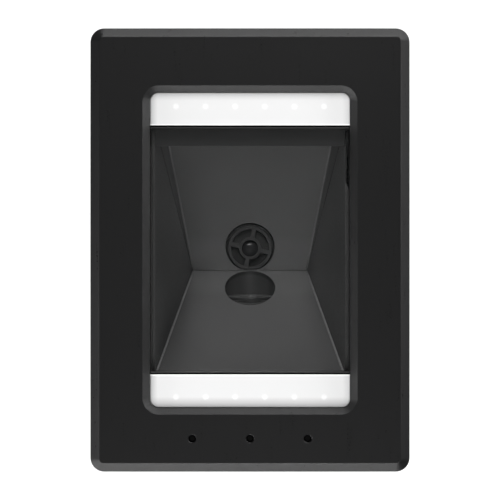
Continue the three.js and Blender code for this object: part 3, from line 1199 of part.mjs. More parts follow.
// Light guide: three rods in the face holes, each with a collar, moulded together on a side bar.
function indicatorLightGuide() {
  const radius = INDICATOR_HOLE_RADIUS - GAP;
  const collarTop = PLATE_UNDER_Z - HOLE_BOSS_DEPTH - GAP;
  const collarBottom = collarTop - GUIDE_COLLAR_THICKNESS;
  const barNear = INDICATOR_Y + INDICATOR_BOSS_RADIUS + 2 * GAP;
  const barHalf = (INDICATOR_COUNT - 1) / 2 * INDICATOR_PITCH + GUIDE_ARM / 2;
  const bar = box([-barHalf, barNear, collarBottom], [barHalf, barNear + GUIDE_ARM, collarTop]);
  const arms = indicatorPlaces().map(([x, y]) => box([x - GUIDE_ARM / 2, y, collarBottom],
    [x + GUIDE_ARM / 2, barNear + GUIDE_ARM / 2, collarTop]));
  const rods = indicatorPlaces().map(([x, y]) => turned([
    [0, GUIDE_BOTTOM_Z],
    [radius, GUIDE_BOTTOM_Z],
    [radius, collarBottom],
    [GUIDE_COLLAR_RADIUS, collarBottom],
    [GUIDE_COLLAR_RADIUS, collarTop],
    [radius, collarTop],
    [radius, GUIDE_TOP_Z],
    [0, GUIDE_TOP_Z],
  ], SMALL_STEPS).rotateX(Math.PI / 2).translate(x, y, 0)).map(solidOf);
  return geometryOf(join(bar, ...arms, ...rods));
}

const scanner = new THREE.Group();
const carried = new THREE.Group();
scanner.add(mirrorFrame, boreFrame, carried);

function place(parent, name, geometry, material) {
  const mesh = new THREE.Mesh(geometry, new THREE.MeshStandardMaterial(MATERIALS[material]));
  mesh.name = name;
  parent.add(mesh);
  return mesh;
}

// Copies of one piece at several places, each turned about X by the same angle.
function placeEach(parent, name, geometry, material, spots, turn) {
  spots.forEach(([x, y, z], index) => {
    const mesh = place(parent, `${name}_${index + 1}`, geometry, material);
    mesh.position.set(x, y, z);
    mesh.rotation.x = turn;
  });
}

const UPWARDS = Math.PI / 2;
const DOWNWARDS = -Math.PI / 2;
const atHeight = (places, z) => places.map(([x, y]) => [x, y, z]);
const onBoardBack = (places) => places.map(([x, z]) =>
  [x, -BOARD_SETBACK - CAMERA_BOARD_THICKNESS - GAP, z]);

place(carried, 'face_bezel', faceBezel(), 'shell');
place(carried, 'rear_housing', rearHousing(), 'shell');
placeEach(carried, 'rubber_foot', rubberFoot(), 'rubber', atHeight(footPlaces(), 0), UPWARDS);
placeEach(carried, 'housing_screw', screwGeometry(HOUSING_SCREW), 'steel',
  atHeight(fourCorners(TOWER_X, TOWER_Y), SHOULDER_Z), UPWARDS);
place(carried, 'window_glass', windowGlass(), 'glass');
place(carried, 'right_window_tape', windowTape(1), 'tape');
place(carried, 'left_window_tape', windowTape(-1), 'tape');
place(carried, 'upper_diffuser', diffuser(1), 'diffuser');
place(carried, 'lower_diffuser', diffuser(-1), 'diffuser');
place(carried, 'upper_light_board', lightBoard(1), 'board');
place(carried, 'lower_light_board', lightBoard(-1), 'board');
placeEach(carried, 'light_board_screw', screwGeometry(LIGHT_SCREW), 'steel',
  atHeight([...lightScrewPlaces(1), ...lightScrewPlaces(-1)], LIGHT_Z), DOWNWARDS);
place(carried, 'optical_chamber', opticalChamber(), 'chamber');
placeEach(carried, 'chamber_screw', screwGeometry(CHAMBER_SCREW), 'steel',
  atHeight(fourCorners(CHAMBER_EAR_X, CHAMBER_EAR_Y), LEDGE_Z - DECK_PLATE), UPWARDS);
place(carried, 'main_board', mainBoard(), 'board');
place(carried, 'processor', processor(), 'chip');
placeEach(carried, 'main_board_screw', screwGeometry(BOARD_SCREW), 'steel',
  atHeight(boardScrewPlaces(), BOARD_TOP_Z), DOWNWARDS);
place(carried, 'buzzer', buzzer(), 'chip');
place(carried, 'interface_socket', interfaceSocket(), 'chip');
place(carried, 'upper_light_lead', upperLightLead(), 'ribbon');
place(carried, 'lower_light_lead', lowerLightLead(), 'ribbon');
place(carried, 'camera_flex', cameraFlex(), 'ribbon');
place(carried, 'indicator_board', indicatorBoard(), 'board');
place(carried, 'indicator_light_guide', indicatorLightGuide(), 'guide');
placeEach(carried, 'indicator_screw', screwGeometry(INDICATOR_SCREW), 'steel',
  atHeight([[INDICATOR_BOSS_X, INDICATOR_Y], [-INDICATOR_BOSS_X, INDICATOR_Y]], INDICATOR_BOARD_Z),
  UPWARDS);
place(carried, 'indicator_lead', indicatorLead(), 'ribbon');

place(mirrorFrame, 'fold_mirror', foldMirror(), 'mirror');
place(mirrorFrame, 'lower_mirror_pad', mirrorPad(BRACKET_START + BRACKET_BAR / 2), 'foam');
place(mirrorFrame, 'upper_mirror_pad', mirrorPad(BRACKET_END - BRACKET_BAR / 2), 'foam');
place(mirrorFrame, 'mirror_bracket', mirrorBracket(), 'shell');
placeEach(mirrorFrame, 'mirror_bracket_screw', screwGeometry(BRACKET_SCREW), 'steel',
  atHeight(earPair(EAR_HIGH), -FRAME_BACK - 2 * GAP - BRACKET_THICKNESS), UPWARDS);

place(lensFrame, 'lens_barrel', lensBarrel(), 'lensBody');
place(lensFrame, 'lens_glass', lensGlass(), 'lensGlass');
place(lensFrame, 'lens_lock_ring', lensLockRing(), 'brass');
place(lensFrame, 'lens_holder', lensHolder(), 'shell');
placeEach(lensFrame, 'lens_holder_screw', screwGeometry(HOLDER_SCREW), 'steel',
  onBoardBack(holderScrewPlaces()), 0);
place(lensFrame, 'image_sensor', imageSensor(), 'chip');
place(lensFrame, 'camera_board', cameraBoard(), 'board');
placeEach(lensFrame, 'camera_board_screw', screwGeometry(CAMERA_SCREW), 'steel',
  onBoardBack(cameraScrewPlaces()), 0);

export default scanner;
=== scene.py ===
from math import cos, pi, radians, sin

import bmesh
import bpy
import numpy as np
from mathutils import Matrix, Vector


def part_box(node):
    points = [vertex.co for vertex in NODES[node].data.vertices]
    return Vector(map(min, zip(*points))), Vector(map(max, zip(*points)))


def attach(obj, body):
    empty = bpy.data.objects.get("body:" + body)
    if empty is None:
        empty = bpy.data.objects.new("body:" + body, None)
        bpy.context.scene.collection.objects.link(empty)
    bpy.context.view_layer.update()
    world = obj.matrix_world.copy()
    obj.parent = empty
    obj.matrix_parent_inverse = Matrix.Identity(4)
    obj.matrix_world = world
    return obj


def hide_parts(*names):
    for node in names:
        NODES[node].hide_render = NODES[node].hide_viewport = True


bl_info = {
    "name": "Desktop Code Reader",
    "version": (1, 0, 0),
    "blender": (4, 5, 0),
    "location": "View3D > Sidebar > Reader",
    "description": "Dresses the solids of a desktop barcode reader and sets its studio",
    "category": "Object",
}

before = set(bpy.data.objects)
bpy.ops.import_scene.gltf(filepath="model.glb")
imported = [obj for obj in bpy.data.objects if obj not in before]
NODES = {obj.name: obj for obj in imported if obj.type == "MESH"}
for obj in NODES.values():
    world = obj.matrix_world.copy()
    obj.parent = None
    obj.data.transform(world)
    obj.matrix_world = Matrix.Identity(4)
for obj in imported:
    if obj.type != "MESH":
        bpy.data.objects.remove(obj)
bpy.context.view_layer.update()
MM = 0.001

# Places and sizes in millimetres, as in the solids
VALLEY_Y, VALLEY_Z, VALLEY_HALF = -7.797, 12.0, 21.6  # where the floor meets the mirror
FLOOR_SLOPE = 1.466  # rise of the floor for each step along Y away from the mirror
SIDE_SLOPE = 0.2198  # how far the side walls spread for each step of height
END_WALL_Y = 42.2
SHELF_Y, SHELF_UNDER = 36.1, 62.3  # where the shelf over the mirror begins
GAP_SHADE_Y = (-42.3, 42.4)  # the chamber is painted black beyond these places along Y, as painted shade of the gaps under the panels' inner edges
MIRROR_TILT = radians(45)
MIRROR_START, MIRROR_END, MIRROR_THICKNESS = 0.24, 71.0, 2.0
MIRROR_HALF, MIRROR_SPREAD = 23.0, 0.1555  # half width at the foot, and its growth up the mirror
LENS_FRONT = (0.0, -17.173, 20.466)
LENS_TILT = radians(2.4)
SPOKE_TURN, SPOKE_WIDTH = radians(12.5), 1.75
SLOT_DEPTH = 1.7
FACE_EDGE = 8.38  # radius beyond which the side of the lens barrel begins
THREAD_PITCH = 0.5
INDICATOR_PLACES = ((-19.8, -64.7), (0.0, -64.7), (19.8, -64.7))
LIGHTS, LIGHT_PITCH = 6, 10.197
# Just over the face of each board
BOARD_TOPS = {"main_board": 12.62, "indicator_board": 64.62, "light_boards": 63.62}


# Sizes and colours a user may change

class CaseSettings(bpy.types.PropertyGroup):
    shell_colour: bpy.props.FloatVectorProperty(
        name="Shell colour", description="Colour of the black moulded case", subtype="COLOR",
        size=3, min=0, max=1, default=(0.005, 0.005, 0.0052))
    shell_roughness: bpy.props.FloatProperty(
        name="Shell roughness", description="Roughness of the case", default=0.34, min=0, max=1,
        subtype="FACTOR")
    grain_size: bpy.props.FloatProperty(
        name="Grain size", description="Width of one bump of the moulded texture",
        default=0.45 * MM, min=0.05 * MM, max=3 * MM, unit="LENGTH")
    edge_round: bpy.props.FloatProperty(
        name="Edge round", description="How far each edge of the face is eased",
        default=0.4 * MM, min=0.05 * MM, max=1.5 * MM, unit="LENGTH")


class OpticsSettings(bpy.types.PropertyGroup):
    chamber_colour: bpy.props.FloatVectorProperty(
        name="Chamber colour", description="Colour of the chamber under the window",
        subtype="COLOR", size=3, min=0, max=1, default=(0.12, 0.12, 0.12))
    # painted shade: the shelf is given a darker copy of the chamber's plastic where the upper panel
    # shades it
    shelf_shade_colour: bpy.props.FloatVectorProperty(
        name="Shelf colour", description="Colour of the dark shelf over the top of the mirror",
        subtype="COLOR", size=3, min=0, max=1, default=(0.045, 0.045, 0.045))
    mirror_colour: bpy.props.FloatVectorProperty(
        name="Mirror colour", description="Share of light that the mirror sends back",
        subtype="COLOR", size=3, min=0, max=1, default=(0.61, 0.61, 0.61))
    lens_colour: bpy.props.FloatVectorProperty(
        name="Lens ring colour", description="Colour of the blackened lens barrel",
        subtype="COLOR", size=3, min=0, max=1, default=(0.1, 0.1, 0.1))
    panel_colour: bpy.props.FloatVectorProperty(
        name="Panel colour", description="Colour of the two light panels", subtype="COLOR",
        size=3, min=0, max=1, default=(0.86, 0.86, 0.86))
    panel_glow: bpy.props.FloatProperty(
        name="Panel glow", description="Light that the panels give off by themselves",
        default=0.1, min=0, max=2)
    spot_glow: bpy.props.FloatProperty(
        name="Spot glow", description="Extra light in front of each of the six lights of a panel",
        default=0.4, min=0, max=2)
    spot_radius: bpy.props.FloatProperty(
        name="Spot radius", description="Radius of the bright spot in front of a light",
        default=0.62 * MM, min=0.3 * MM, max=8 * MM, unit="LENGTH")


class StudioSettings(bpy.types.PropertyGroup):
    camera_height: bpy.props.FloatProperty(
        name="Camera height", description="Height of the camera above the table",
        default=656.1 * MM, min=0.2, max=3, unit="LENGTH")
    focal_length: bpy.props.FloatProperty(
        name="Focal length", description="Focal length of the camera in millimetres",
        default=122.55, min=20, max=300)
    floor_colour: bpy.props.FloatVectorProperty(
        name="Table colour", description="Colour of the pale table", subtype="COLOR", size=3,
        min=0, max=1, default=(0.6, 0.6, 0.6))
    floor_glow: bpy.props.FloatProperty(
        name="Table glow", description="Light that the table shows beside what falls on it",
        default=0.62, min=0, max=1)
    table_width: bpy.props.FloatProperty(
        name="Table width", description="Width and length of the table", default=0.36, min=0.3,
        max=6, unit="LENGTH")
    world_level: bpy.props.FloatProperty(
        name="World level", description="Strength of the even light from all round",
        default=0.03, min=0, max=2)


# Materials

CLOUD = 0.12  # how far a plastic's colour wanders, as a share of it
SCUFF_GLOSS = 0.05  # how much smoother a scuff is
GRAIN_GLOSS = 0.05  # how far the roughness follows the grain
STREAK_GLOSS = 0.08  # how far it follows the streaks of a metal


def feed(node, sockets):
    """Gives each named socket of a node a value or the output of another node."""
    for name, value in sockets.items():
        if isinstance(value, bpy.types.NodeSocket):
            node.id_data.links.new(value, node.inputs[name])
        else:
            node.inputs[name].default_value = value
    return node


def new_material(name, colour=(0.8, 0.8, 0.8), roughness=0.5):
    """A material, its node tree and its shader, with a colour that is the same all over."""
    material = bpy.data.materials.new(name)
    material.use_nodes = True
    tree = material.node_tree
    shader = feed(tree.nodes["Principled BSDF"],
                  {"Base Color": (*colour, 1), "Roughness": roughness})
    return material, tree, shader


def position(tree, scale=(1, 1, 1), turn=(0, 0, 0)):
    """Object coordinates in metres, turned and then stretched by a scale for each axis."""
    coordinates = tree.nodes.new("ShaderNodeTexCoord").outputs["Object"]
    mapping = feed(tree.nodes.new("ShaderNodeMapping"),
                   {"Vector": coordinates, "Scale": scale, "Rotation": turn})
    return mapping.outputs["Vector"]


def places(tree):
    """X, Y and Z in millimetres."""
    split = feed(tree.nodes.new("ShaderNodeSeparateXYZ"),
                 {"Vector": position(tree, (1 / MM, 1 / MM, 1 / MM))})
    return split.outputs["X"], split.outputs["Y"], split.outputs["Z"]


def noise(tree, vector, scale, detail=3.0, distortion=0.0):
    """Noise from 0 to 1, whose scale counts its bumps in a metre."""
    texture = feed(tree.nodes.new("ShaderNodeTexNoise"), {
        "Vector": vector, "Scale": scale, "Detail": detail, "Distortion": distortion})
    return texture.outputs["Fac"]


def between(tree, factor, low, high, source=(0.3, 0.7)):
    """Carries a factor from the source range onto the range low to high."""
    node = feed(tree.nodes.new("ShaderNodeMapRange"), {
        "Value": factor, "From Min": source[0], "From Max": source[1], "To Min": low,
        "To Max": high})
    return node.outputs["Result"]


def mixed(tree, factor, first, second):
    """A colour between two, each given as numbers or as another node's colour."""
    node = tree.nodes.new("ShaderNodeMix")
    node.data_type = "RGBA"
    for socket, colour in ((node.inputs["A"], first), (node.inputs["B"], second)):
        if isinstance(colour, bpy.types.NodeSocket):
            tree.links.new(colour, socket)
        else:
            socket.default_value = (*colour, 1)
    tree.links.new(factor, node.inputs["Factor"])
    return node.outputs["Result"]


def maths(tree, operation, *values):
    """A math node on numbers and on other nodes' values."""
    node = tree.nodes.new("ShaderNodeMath")
    node.operation = operation
    for socket, value in zip(node.inputs, values):
        if isinstance(value, bpy.types.NodeSocket):
            tree.links.new(value, socket)
        else:
            socket.default_value = value
    return node.outputs["Value"]


def product(tree, first, *others):
    """Several values multiplied by each other."""
    for other in others:
        first = maths(tree, "MULTIPLY", first, other)
    return first


def bump(tree, height, depth):
    """A normal that follows a height, as deep as a depth in millimetres."""
    node = feed(tree.nodes.new("ShaderNodeBump"), {"Height": height, "Distance": depth * MM})
    return node.outputs["Normal"]


def tinted(colour, share):
    """A colour made lighter or darker."""
    return tuple(channel * share for channel in colour)


def moulded_plastic(name, colour, roughness, grain_size, grain_depth, specular=0.5):
    """Moulded plastic: a pebbled grain, cloudy changes of colour, and fine scuffs in the gloss.

    The size and the depth of the grain are in millimetres.
    """
    material, tree, shader = new_material(name)
    place = position(tree)
    fine = noise(tree, place, 1 / (grain_size * MM), 2)
    cloudy = noise(tree, place, 40, 4)
    scuff = noise(tree, position(tree, (1, 0.08, 1), (0, 0, 0.5)), 900, 2, 0.4)
    grained = between(tree, fine, roughness - GRAIN_GLOSS, roughness + GRAIN_GLOSS)
    scuffed = between(tree, scuff, 0, -SCUFF_GLOSS, (0.58, 0.75))
    feed(shader, {
        "Base Color": mixed(tree, cloudy, tinted(colour, 1 - CLOUD), tinted(colour, 1 + CLOUD)),
        "Roughness": maths(tree, "ADD", grained, scuffed),
        "Normal": bump(tree, fine, grain_depth),
        "Specular IOR Level": specular})
    return material


def colour_of(material):
    """A finished material's tree and shader, and the output that gives the shader its colour."""
    shader = material.node_tree.nodes["Principled BSDF"]
    return material.node_tree, shader, shader.inputs["Base Color"].links[0].from_socket


def chamber_shading(material, shelf_shade_colour):
    """Paints light and shade into the chamber's plastic by place.

    The floor plate gets painted light in its middle and towards the valley and painted shade at the
    left, and the walls get painted shade with height, along their seam with the floor and in the
    bore.
    The shelf over the mirror takes a dull dark colour as painted shade, and the chamber beyond the
    light panels' inner edges is painted black as the shade of the gaps under them.
    """
    tree, shader, moulded = colour_of(material)
    x, y, z = places(tree)
    height = maths(tree, "SUBTRACT", z, VALLEY_Z)
    from_valley = maths(tree, "SUBTRACT", y, VALLEY_Y)
    over_floor = maths(tree, "MULTIPLY_ADD", from_valley, FLOOR_SLOPE, height)
    off_floor = maths(tree, "ABSOLUTE", over_floor)
    from_middle = maths(tree, "ABSOLUTE", x)
    half = maths(tree, "MULTIPLY_ADD", height, SIDE_SLOPE, VALLEY_HALF)
    # painted light on the floor plate: lighter towards the valley and in its middle, with painted
    # shade at its left
    plate = product(tree, between(tree, height, 1.9, 1.0, (0, 14)),
                    between(tree, maths(tree, "SUBTRACT", half, from_middle), 1.0, 1.15, (0, 9)),
                    between(tree, x, 0.8, 1, (-32, -14)))
    # painted shade on the walls: darker with height, along their seam with the floor and in the
    # bore
    wall = product(tree, between(tree, height, 1.2, 0.6, (0, 46)),
                   between(tree, off_floor, 0.5, 1, (1.6, 2.8)),
                   between(tree, from_middle, 0.75, 1, (9.6, 10.5)))
    on_floor = maths(tree, "LESS_THAN", off_floor, 0.25)
    lightness = maths(tree, "ADD", product(tree, on_floor, plate),
                      product(tree, maths(tree, "SUBTRACT", 1, on_floor), wall))
    shaded = tree.nodes.new("ShaderNodeVectorMath")
    shaded.operation = "SCALE"
    feed(shaded, {"Vector": moulded, "Scale": lightness})
    # painted shade: the shelf over the mirror takes the darker shelf colour
    shelf = product(tree, maths(tree, "GREATER_THAN", z, SHELF_UNDER),
                    maths(tree, "GREATER_THAN", y, SHELF_Y))
    # painted shade: black beyond the panels' inner edges for the gaps under them
    gap_shade = maths(tree, "MAXIMUM", maths(tree, "LESS_THAN", y, GAP_SHADE_Y[0]),
                   maths(tree, "GREATER_THAN", y, GAP_SHADE_Y[1]))
    darker = mixed(tree, shelf, shaded.outputs["Vector"], shelf_shade_colour)
    dull = maths(tree, "MAXIMUM", gap_shade, product(tree, shelf, 0.8))
    feed(shader, {"Base Color": mixed(tree, gap_shade, darker, (0.001, 0.001, 0.001)),
                  "Specular IOR Level": between(tree, dull, 0.5, 0, (0, 1))})


def barrel_shading(material, colour):
    """Paints light and shade into the lens barrel by place.

    The face gets painted light downwards, and its slots and its side get painted shade. Along the
    lens axis a point lies at y cos t + z sin t, and across it at x and z cos t - y sin t, where t
    is the tilt.
    """
    tree, shader, moulded = colour_of(material)
    x, y, z = places(tree)
    start_y, start_z = LENS_FRONT[1:]
    front = start_y * cos(LENS_TILT) + start_z * sin(LENS_TILT)
    middle = start_z * cos(LENS_TILT) - start_y * sin(LENS_TILT)
    along = maths(tree, "MULTIPLY_ADD", z, sin(LENS_TILT), product(tree, y, cos(LENS_TILT)))
    across = maths(tree, "MULTIPLY_ADD", z, cos(LENS_TILT), product(tree, y, -sin(LENS_TILT)))
    across = maths(tree, "SUBTRACT", across, middle)
    square = maths(tree, "MULTIPLY_ADD", x, x, product(tree, across, across))
    beside_face = maths(tree, "GREATER_THAN", maths(tree, "SQRT", square), FACE_EDGE)
    # painted light: the face gets lighter towards its bottom
    low = between(tree, z, 1, 0, (12.5, 29))
    face = mixed(tree, low, moulded, tinted(colour, 2.2))
    # painted shade in the slots and on the side beside the face
    proud = between(tree, along, 0, 1, (front - 1.5, front - 0.3))
    slotted = mixed(tree, proud, tinted(colour, 0.9), face)
    feed(shader, {"Base Color": mixed(tree, beside_face, slotted, tinted(colour, 0.5))})


def parts_above(material, height, colour):
    """Gives what stands above a height, in millimetres, the colour of the parts on a board."""
    tree, shader, board = colour_of(material)
    above = maths(tree, "GREATER_THAN", places(tree)[2], height)
    feed(shader, {"Base Color": mixed(tree, above, board, colour)})


def brushed_metal(name, colour, roughness):
    """Machined metal: fine streaks in colour, gloss and bump along one axis."""
    material, tree, shader = new_material(name)
    streak = noise(tree, position(tree, (1, 1, 12)), 1500, 3)
    feed(shader, {
        "Base Color": mixed(tree, streak, tinted(colour, 0.85), tinted(colour, 1.1)),
        "Roughness": between(tree, streak, roughness - STREAK_GLOSS, roughness + STREAK_GLOSS),
        "Normal": bump(tree, streak, 0.004),
        "Metallic": 1})
    return material


def solder_resist(name, colour):
    """A circuit board: straight tracks show as raised, lighter lines through the resist."""
    material, tree, shader = new_material(name)
    tracks = feed(tree.nodes.new("ShaderNodeTexBrick"), {
        "Vector": position(tree), "Scale": 260, "Mortar Size": 0.012,
        "Color1": (*tinted(colour, 0.85), 1), "Color2": (*colour, 1),
        "Mortar": (*tinted(colour, 1.9), 1)})
    feed(shader, {
        "Base Color": tracks.outputs["Color"],
        "Roughness": between(tree, noise(tree, position(tree), 400), 0.25, 0.4),
        "Normal": bump(tree, tracks.outputs["Fac"], 0.02)})
    return material


SIDE_FADE = (31.8, 34.4)  # between these distances along X a panel gets painted shade
EDGE_GLOW = (43.2, 43.5)  # between these distances along Y the glow of its inner edge ends


def panel_glow(tree, settings, row_y, fade):
    """Brightness of a panel, and the painted shade on its plastic.

    The plateau falls with painted shade towards the three outer edges, more at the left than at the
    right. The edge beside the window is brighter. Each spot is exp(-d^2 / r^2), where d is the
    distance from the light behind it.
    """
    x, y, z = places(tree)
    steps = maths(tree, "ADD", maths(tree, "DIVIDE", x, LIGHT_PITCH), 20)
    cell = maths(tree, "SUBTRACT", maths(tree, "FRACT", steps), 0.5)
    across = product(tree, cell, LIGHT_PITCH)
    along = maths(tree, "SUBTRACT", y, row_y)
    square = maths(tree, "MULTIPLY_ADD", across, across, product(tree, along, along))
    radius = settings.spot_radius / MM
    spot = maths(tree, "EXPONENT", maths(tree, "DIVIDE", square, -radius ** 2))
    in_row = maths(tree, "LESS_THAN", maths(tree, "ABSOLUTE", x), LIGHTS / 2 * LIGHT_PITCH)
    from_middle = maths(tree, "ABSOLUTE", y)
    start, end, share = fade
    left, right = (-SIDE_FADE[1], -SIDE_FADE[0]), SIDE_FADE
    shade = product(tree, between(tree, from_middle, 1, share, (start, end)),
                    between(tree, x, 0.25, 1, left), between(tree, x, 1, 0.6, right))
    plateau = product(tree, shade, settings.panel_glow)
    spots = product(tree, spot, in_row, settings.spot_glow)
    inner_edge = between(tree, from_middle, 0.25, 0, EDGE_GLOW)
    return maths(tree, "ADD", maths(tree, "ADD", plateau, spots), inner_edge), shade


# Shapes

CORNER_POINTS = 13


def eased(corners, reach, steps=5, closed=True):
    """Rounds the corners of a path whose points are rows of numbers.

    A corner B between A and C becomes the parabola (1-t)^2 P + 2t(1-t) B + t^2 Q, where P and Q
    lie on BA and BC at the reach, or at 0.45 of the side where that is shorter. An open path
    keeps its two end points.
    """
    path = np.asarray(corners, float)
    middle = path if closed else path[1:-1]
    before = (np.roll(path, 1, 0) if closed else path[:-2]) - middle
    after = (np.roll(path, -1, 0) if closed else path[2:]) - middle
    near = np.minimum(reach / np.linalg.norm(before, axis=1), 0.45)[:, None]
    far = np.minimum(reach / np.linalg.norm(after, axis=1), 0.45)[:, None]
    start, end = (middle + before * near)[:, None], (middle + after * far)[:, None]
    t = np.linspace(0, 1, steps)[None, :, None]
    curve = (1 - t) ** 2 * start + 2 * t * (1 - t) * middle[:, None] + t ** 2 * end
    curve = curve.reshape(-1, path.shape[1])
    return curve if closed else np.concatenate([path[:1], curve, path[-1:]])


def outlines(rows, stations=()):
    """Round-cornered rectangles, one to a row, as a grid of points counted anticlockwise.

    A row holds west, east, south, north, the corner radius at the south, the one at the north and
    the height. A corner is its centre plus the radius times the cosine and sine of the angle. The
    long sides get extra points at the stations along Y.
    """
    west, east, south, north, low, high, height = np.asarray(rows, float).T[:, :, None]
    turn = np.linspace(0, pi / 2, CORNER_POINTS)[None, :]
    side = np.ones_like(west) * np.asarray(stations, float)[None, :]
    centres = ((east - high, north - high, high), (west + high, north - high, high),
               (west + low, south + low, low), (east - low, south + low, low))
    corners = [(x + radius * np.cos(turn + quarter * pi / 2),
                y + radius * np.sin(turn + quarter * pi / 2))
               for quarter, (x, y, radius) in enumerate(centres)]
    west_side = (west + 0 * side, side[:, ::-1])
    east_side = (east + 0 * side, side)
    pieces = [corners[0], corners[1], west_side, corners[2], corners[3], east_side]
    plan_x = np.concatenate([x for x, y in pieces], 1)
    plan_y = np.concatenate([y for x, y in pieces], 1)
    return np.stack([plan_x, plan_y, height + 0 * plan_x], -1)


def centred(half_width, half_length, radius):
    """The first six numbers of an outline's row for a rectangle about the middle."""
    return (-half_width, half_width, -half_length, half_length, radius, radius)


def slab(wide, narrow, bottom, top, reach):
    """An eased plate whose sides follow the wide outline and whose caps end in the narrow one."""
    rows = [(*narrow, bottom), (*wide, bottom), (*wide, top), (*narrow, top)]
    return outlines(eased(rows, reach, closed=False))


def full_turn(steps):
    """The angles of so many equal steps round a circle, as one row."""
    return (np.arange(steps) * 2 * pi / steps)[None, :]


def turned(profile, steps=48):
    """A profile of radius and height rows carried round an upright axis: r cos a, r sin a."""
    radius, height = np.asarray(profile, float).T[:, :, None]
    angle = full_turn(steps)
    return np.stack([radius * np.cos(angle), radius * np.sin(angle), height + 0 * angle], -1)


def placed(grid, place, tilt):
    """Turns a grid about X by the tilt and moves it to the place."""
    x, y, z = np.moveaxis(grid, -1, 0)
    return np.stack([place[0] + x, place[1] + y * cos(tilt) - z * sin(tilt),
                     place[2] + y * sin(tilt) + z * cos(tilt)], -1)


def about_lens(radius, depth, angle):
    """Points round the lens axis at each radius, depth and angle: r sin a, d, r cos a."""
    points = np.broadcast_arrays(radius * np.sin(angle), depth, radius * np.cos(angle))
    return placed(np.stack(points, -1), LENS_FRONT, LENS_TILT)


def turned_about_lens(profile, steps=64):
    """A profile of radius and depth rows carried round the lens axis."""
    return about_lens(*np.asarray(profile, float).T[:, :, None], full_turn(steps))


def grid_faces(rows, points, close_rows):
    """Quads of a grid closed along its points. Its rows close on each other, or end in two caps."""
    row = np.arange(rows if close_rows else rows - 1)[:, None]
    point = np.arange(points)[None, :]
    next_row, next_point = (row + 1) % rows, (point + 1) % points
    quads = np.stack([row * points + point, row * points + next_point,
                      next_row * points + next_point, next_row * points + point], -1)
    faces = quads.reshape(-1, 4).tolist()
    if not close_rows:
        faces.append(list(range(points))[::-1])
        faces.append(list(range((rows - 1) * points, rows * points)))
    return faces


# Building

def new_piece(name, grids, material, stands_for=(), close_rows=False, body="scanner_body",
              sharp=40):
    """One piece out of grids in millimetres, which rides on a body and stands for CAD nodes."""
    points, faces, count = [], [], 0
    for grid in grids:
        rows, around = grid.shape[:2]
        faces += [[corner + count for corner in face]
                  for face in grid_faces(rows, around, close_rows)]
        points.append(grid.reshape(-1, 3) * MM)
        count += rows * around
    mesh = bpy.data.meshes.new(name)
    mesh.from_pydata(np.concatenate(points).tolist(), [], faces)
    return finished(name, mesh, material, stands_for, body, sharp)


def finished(name, mesh, material, stands_for, body, sharp):
    """Makes a mesh a piece that is shaded smooth up to an angle in degrees."""
    mesh.materials.clear()
    mesh.materials.append(material)
    mesh.polygons.foreach_set("use_smooth", [True] * len(mesh.polygons))
    mesh.set_sharp_from_angle(angle=radians(sharp))
    piece = bpy.data.objects.new(name, mesh)
    bpy.context.scene.collection.objects.link(piece)
    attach(piece, body)
    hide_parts(*stands_for)
    return piece


def weigh_normals(piece):
    """Keeps large faces flat in their shading beside eased edges."""
    modifier = piece.modifiers.new("face weight", "WEIGHTED_NORMAL")
    modifier.mode = "FACE_AREA"
    modifier.weight = 100
    modifier.keep_sharp = True


MERGE_DISTANCE = 0.003  # points of a solid that lie closer become one
FLAT_ANGLE = radians(0.6)  # faces of a solid that meet at a smaller angle become one
EASED_ANGLE = radians(28)  # edges at a larger angle are eased


def eased_copy(name, node, material, width):
    """A merged copy of a CAD node whose edges are eased by a bevel of a width in millimetres."""
    shape = bmesh.new()
    shape.from_mesh(NODES[node].data)
    bmesh.ops.remove_doubles(shape, verts=shape.verts, dist=MERGE_DISTANCE * MM)
    bmesh.ops.dissolve_limit(shape, angle_limit=FLAT_ANGLE, verts=shape.verts, edges=shape.edges)
    mesh = bpy.data.meshes.new(name)
    shape.to_mesh(mesh)
    shape.free()
    piece = finished(name, mesh, material, [node], "scanner_body", 180)
    modifier = piece.modifiers.new("eased edges", "BEVEL")
    modifier.width = width * MM
    modifier.segments = 2
    modifier.limit_method = "ANGLE"
    modifier.angle_limit = EASED_ANGLE
    modifier.harden_normals = True
    weigh_normals(piece)


def dress(names, material, width):
    """Eased copies of several CAD nodes in one material."""
    for name in names:
        eased_copy(name + "_eased", name, material, width)


def cut_out(piece, grids):
    """Cuts closed grids in millimetres out of a piece for good."""
    tools = new_piece("cutter", grids, piece.data.materials[0])
    modifier = piece.modifiers.new("cut", "BOOLEAN")
    modifier.operation = "DIFFERENCE"
    modifier.solver = "EXACT"
    modifier.object = tools
    bpy.context.view_layer.update()
    whole = piece.evaluated_get(bpy.context.evaluated_depsgraph_get())
    mesh = bpy.data.meshes.new_from_object(whole)
    piece.modifiers.remove(modifier)
    piece.data = mesh
    bpy.data.objects.remove(tools)


def nodes_named(start):
    """The names of the CAD nodes that begin with a word."""
    return sorted(name for name in NODES if name.startswith(start))


def box_of(name):
    """The two corners of a CAD node's box in millimetres."""
    low, high = (np.array(corner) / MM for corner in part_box(name))
    return low, high


def middle_of(name):
    """The middle of a CAD node in plan, in millimetres, at height 0."""
    return sum(box_of(name)) / 2 * np.array([1, 1, 0])


# Pieces

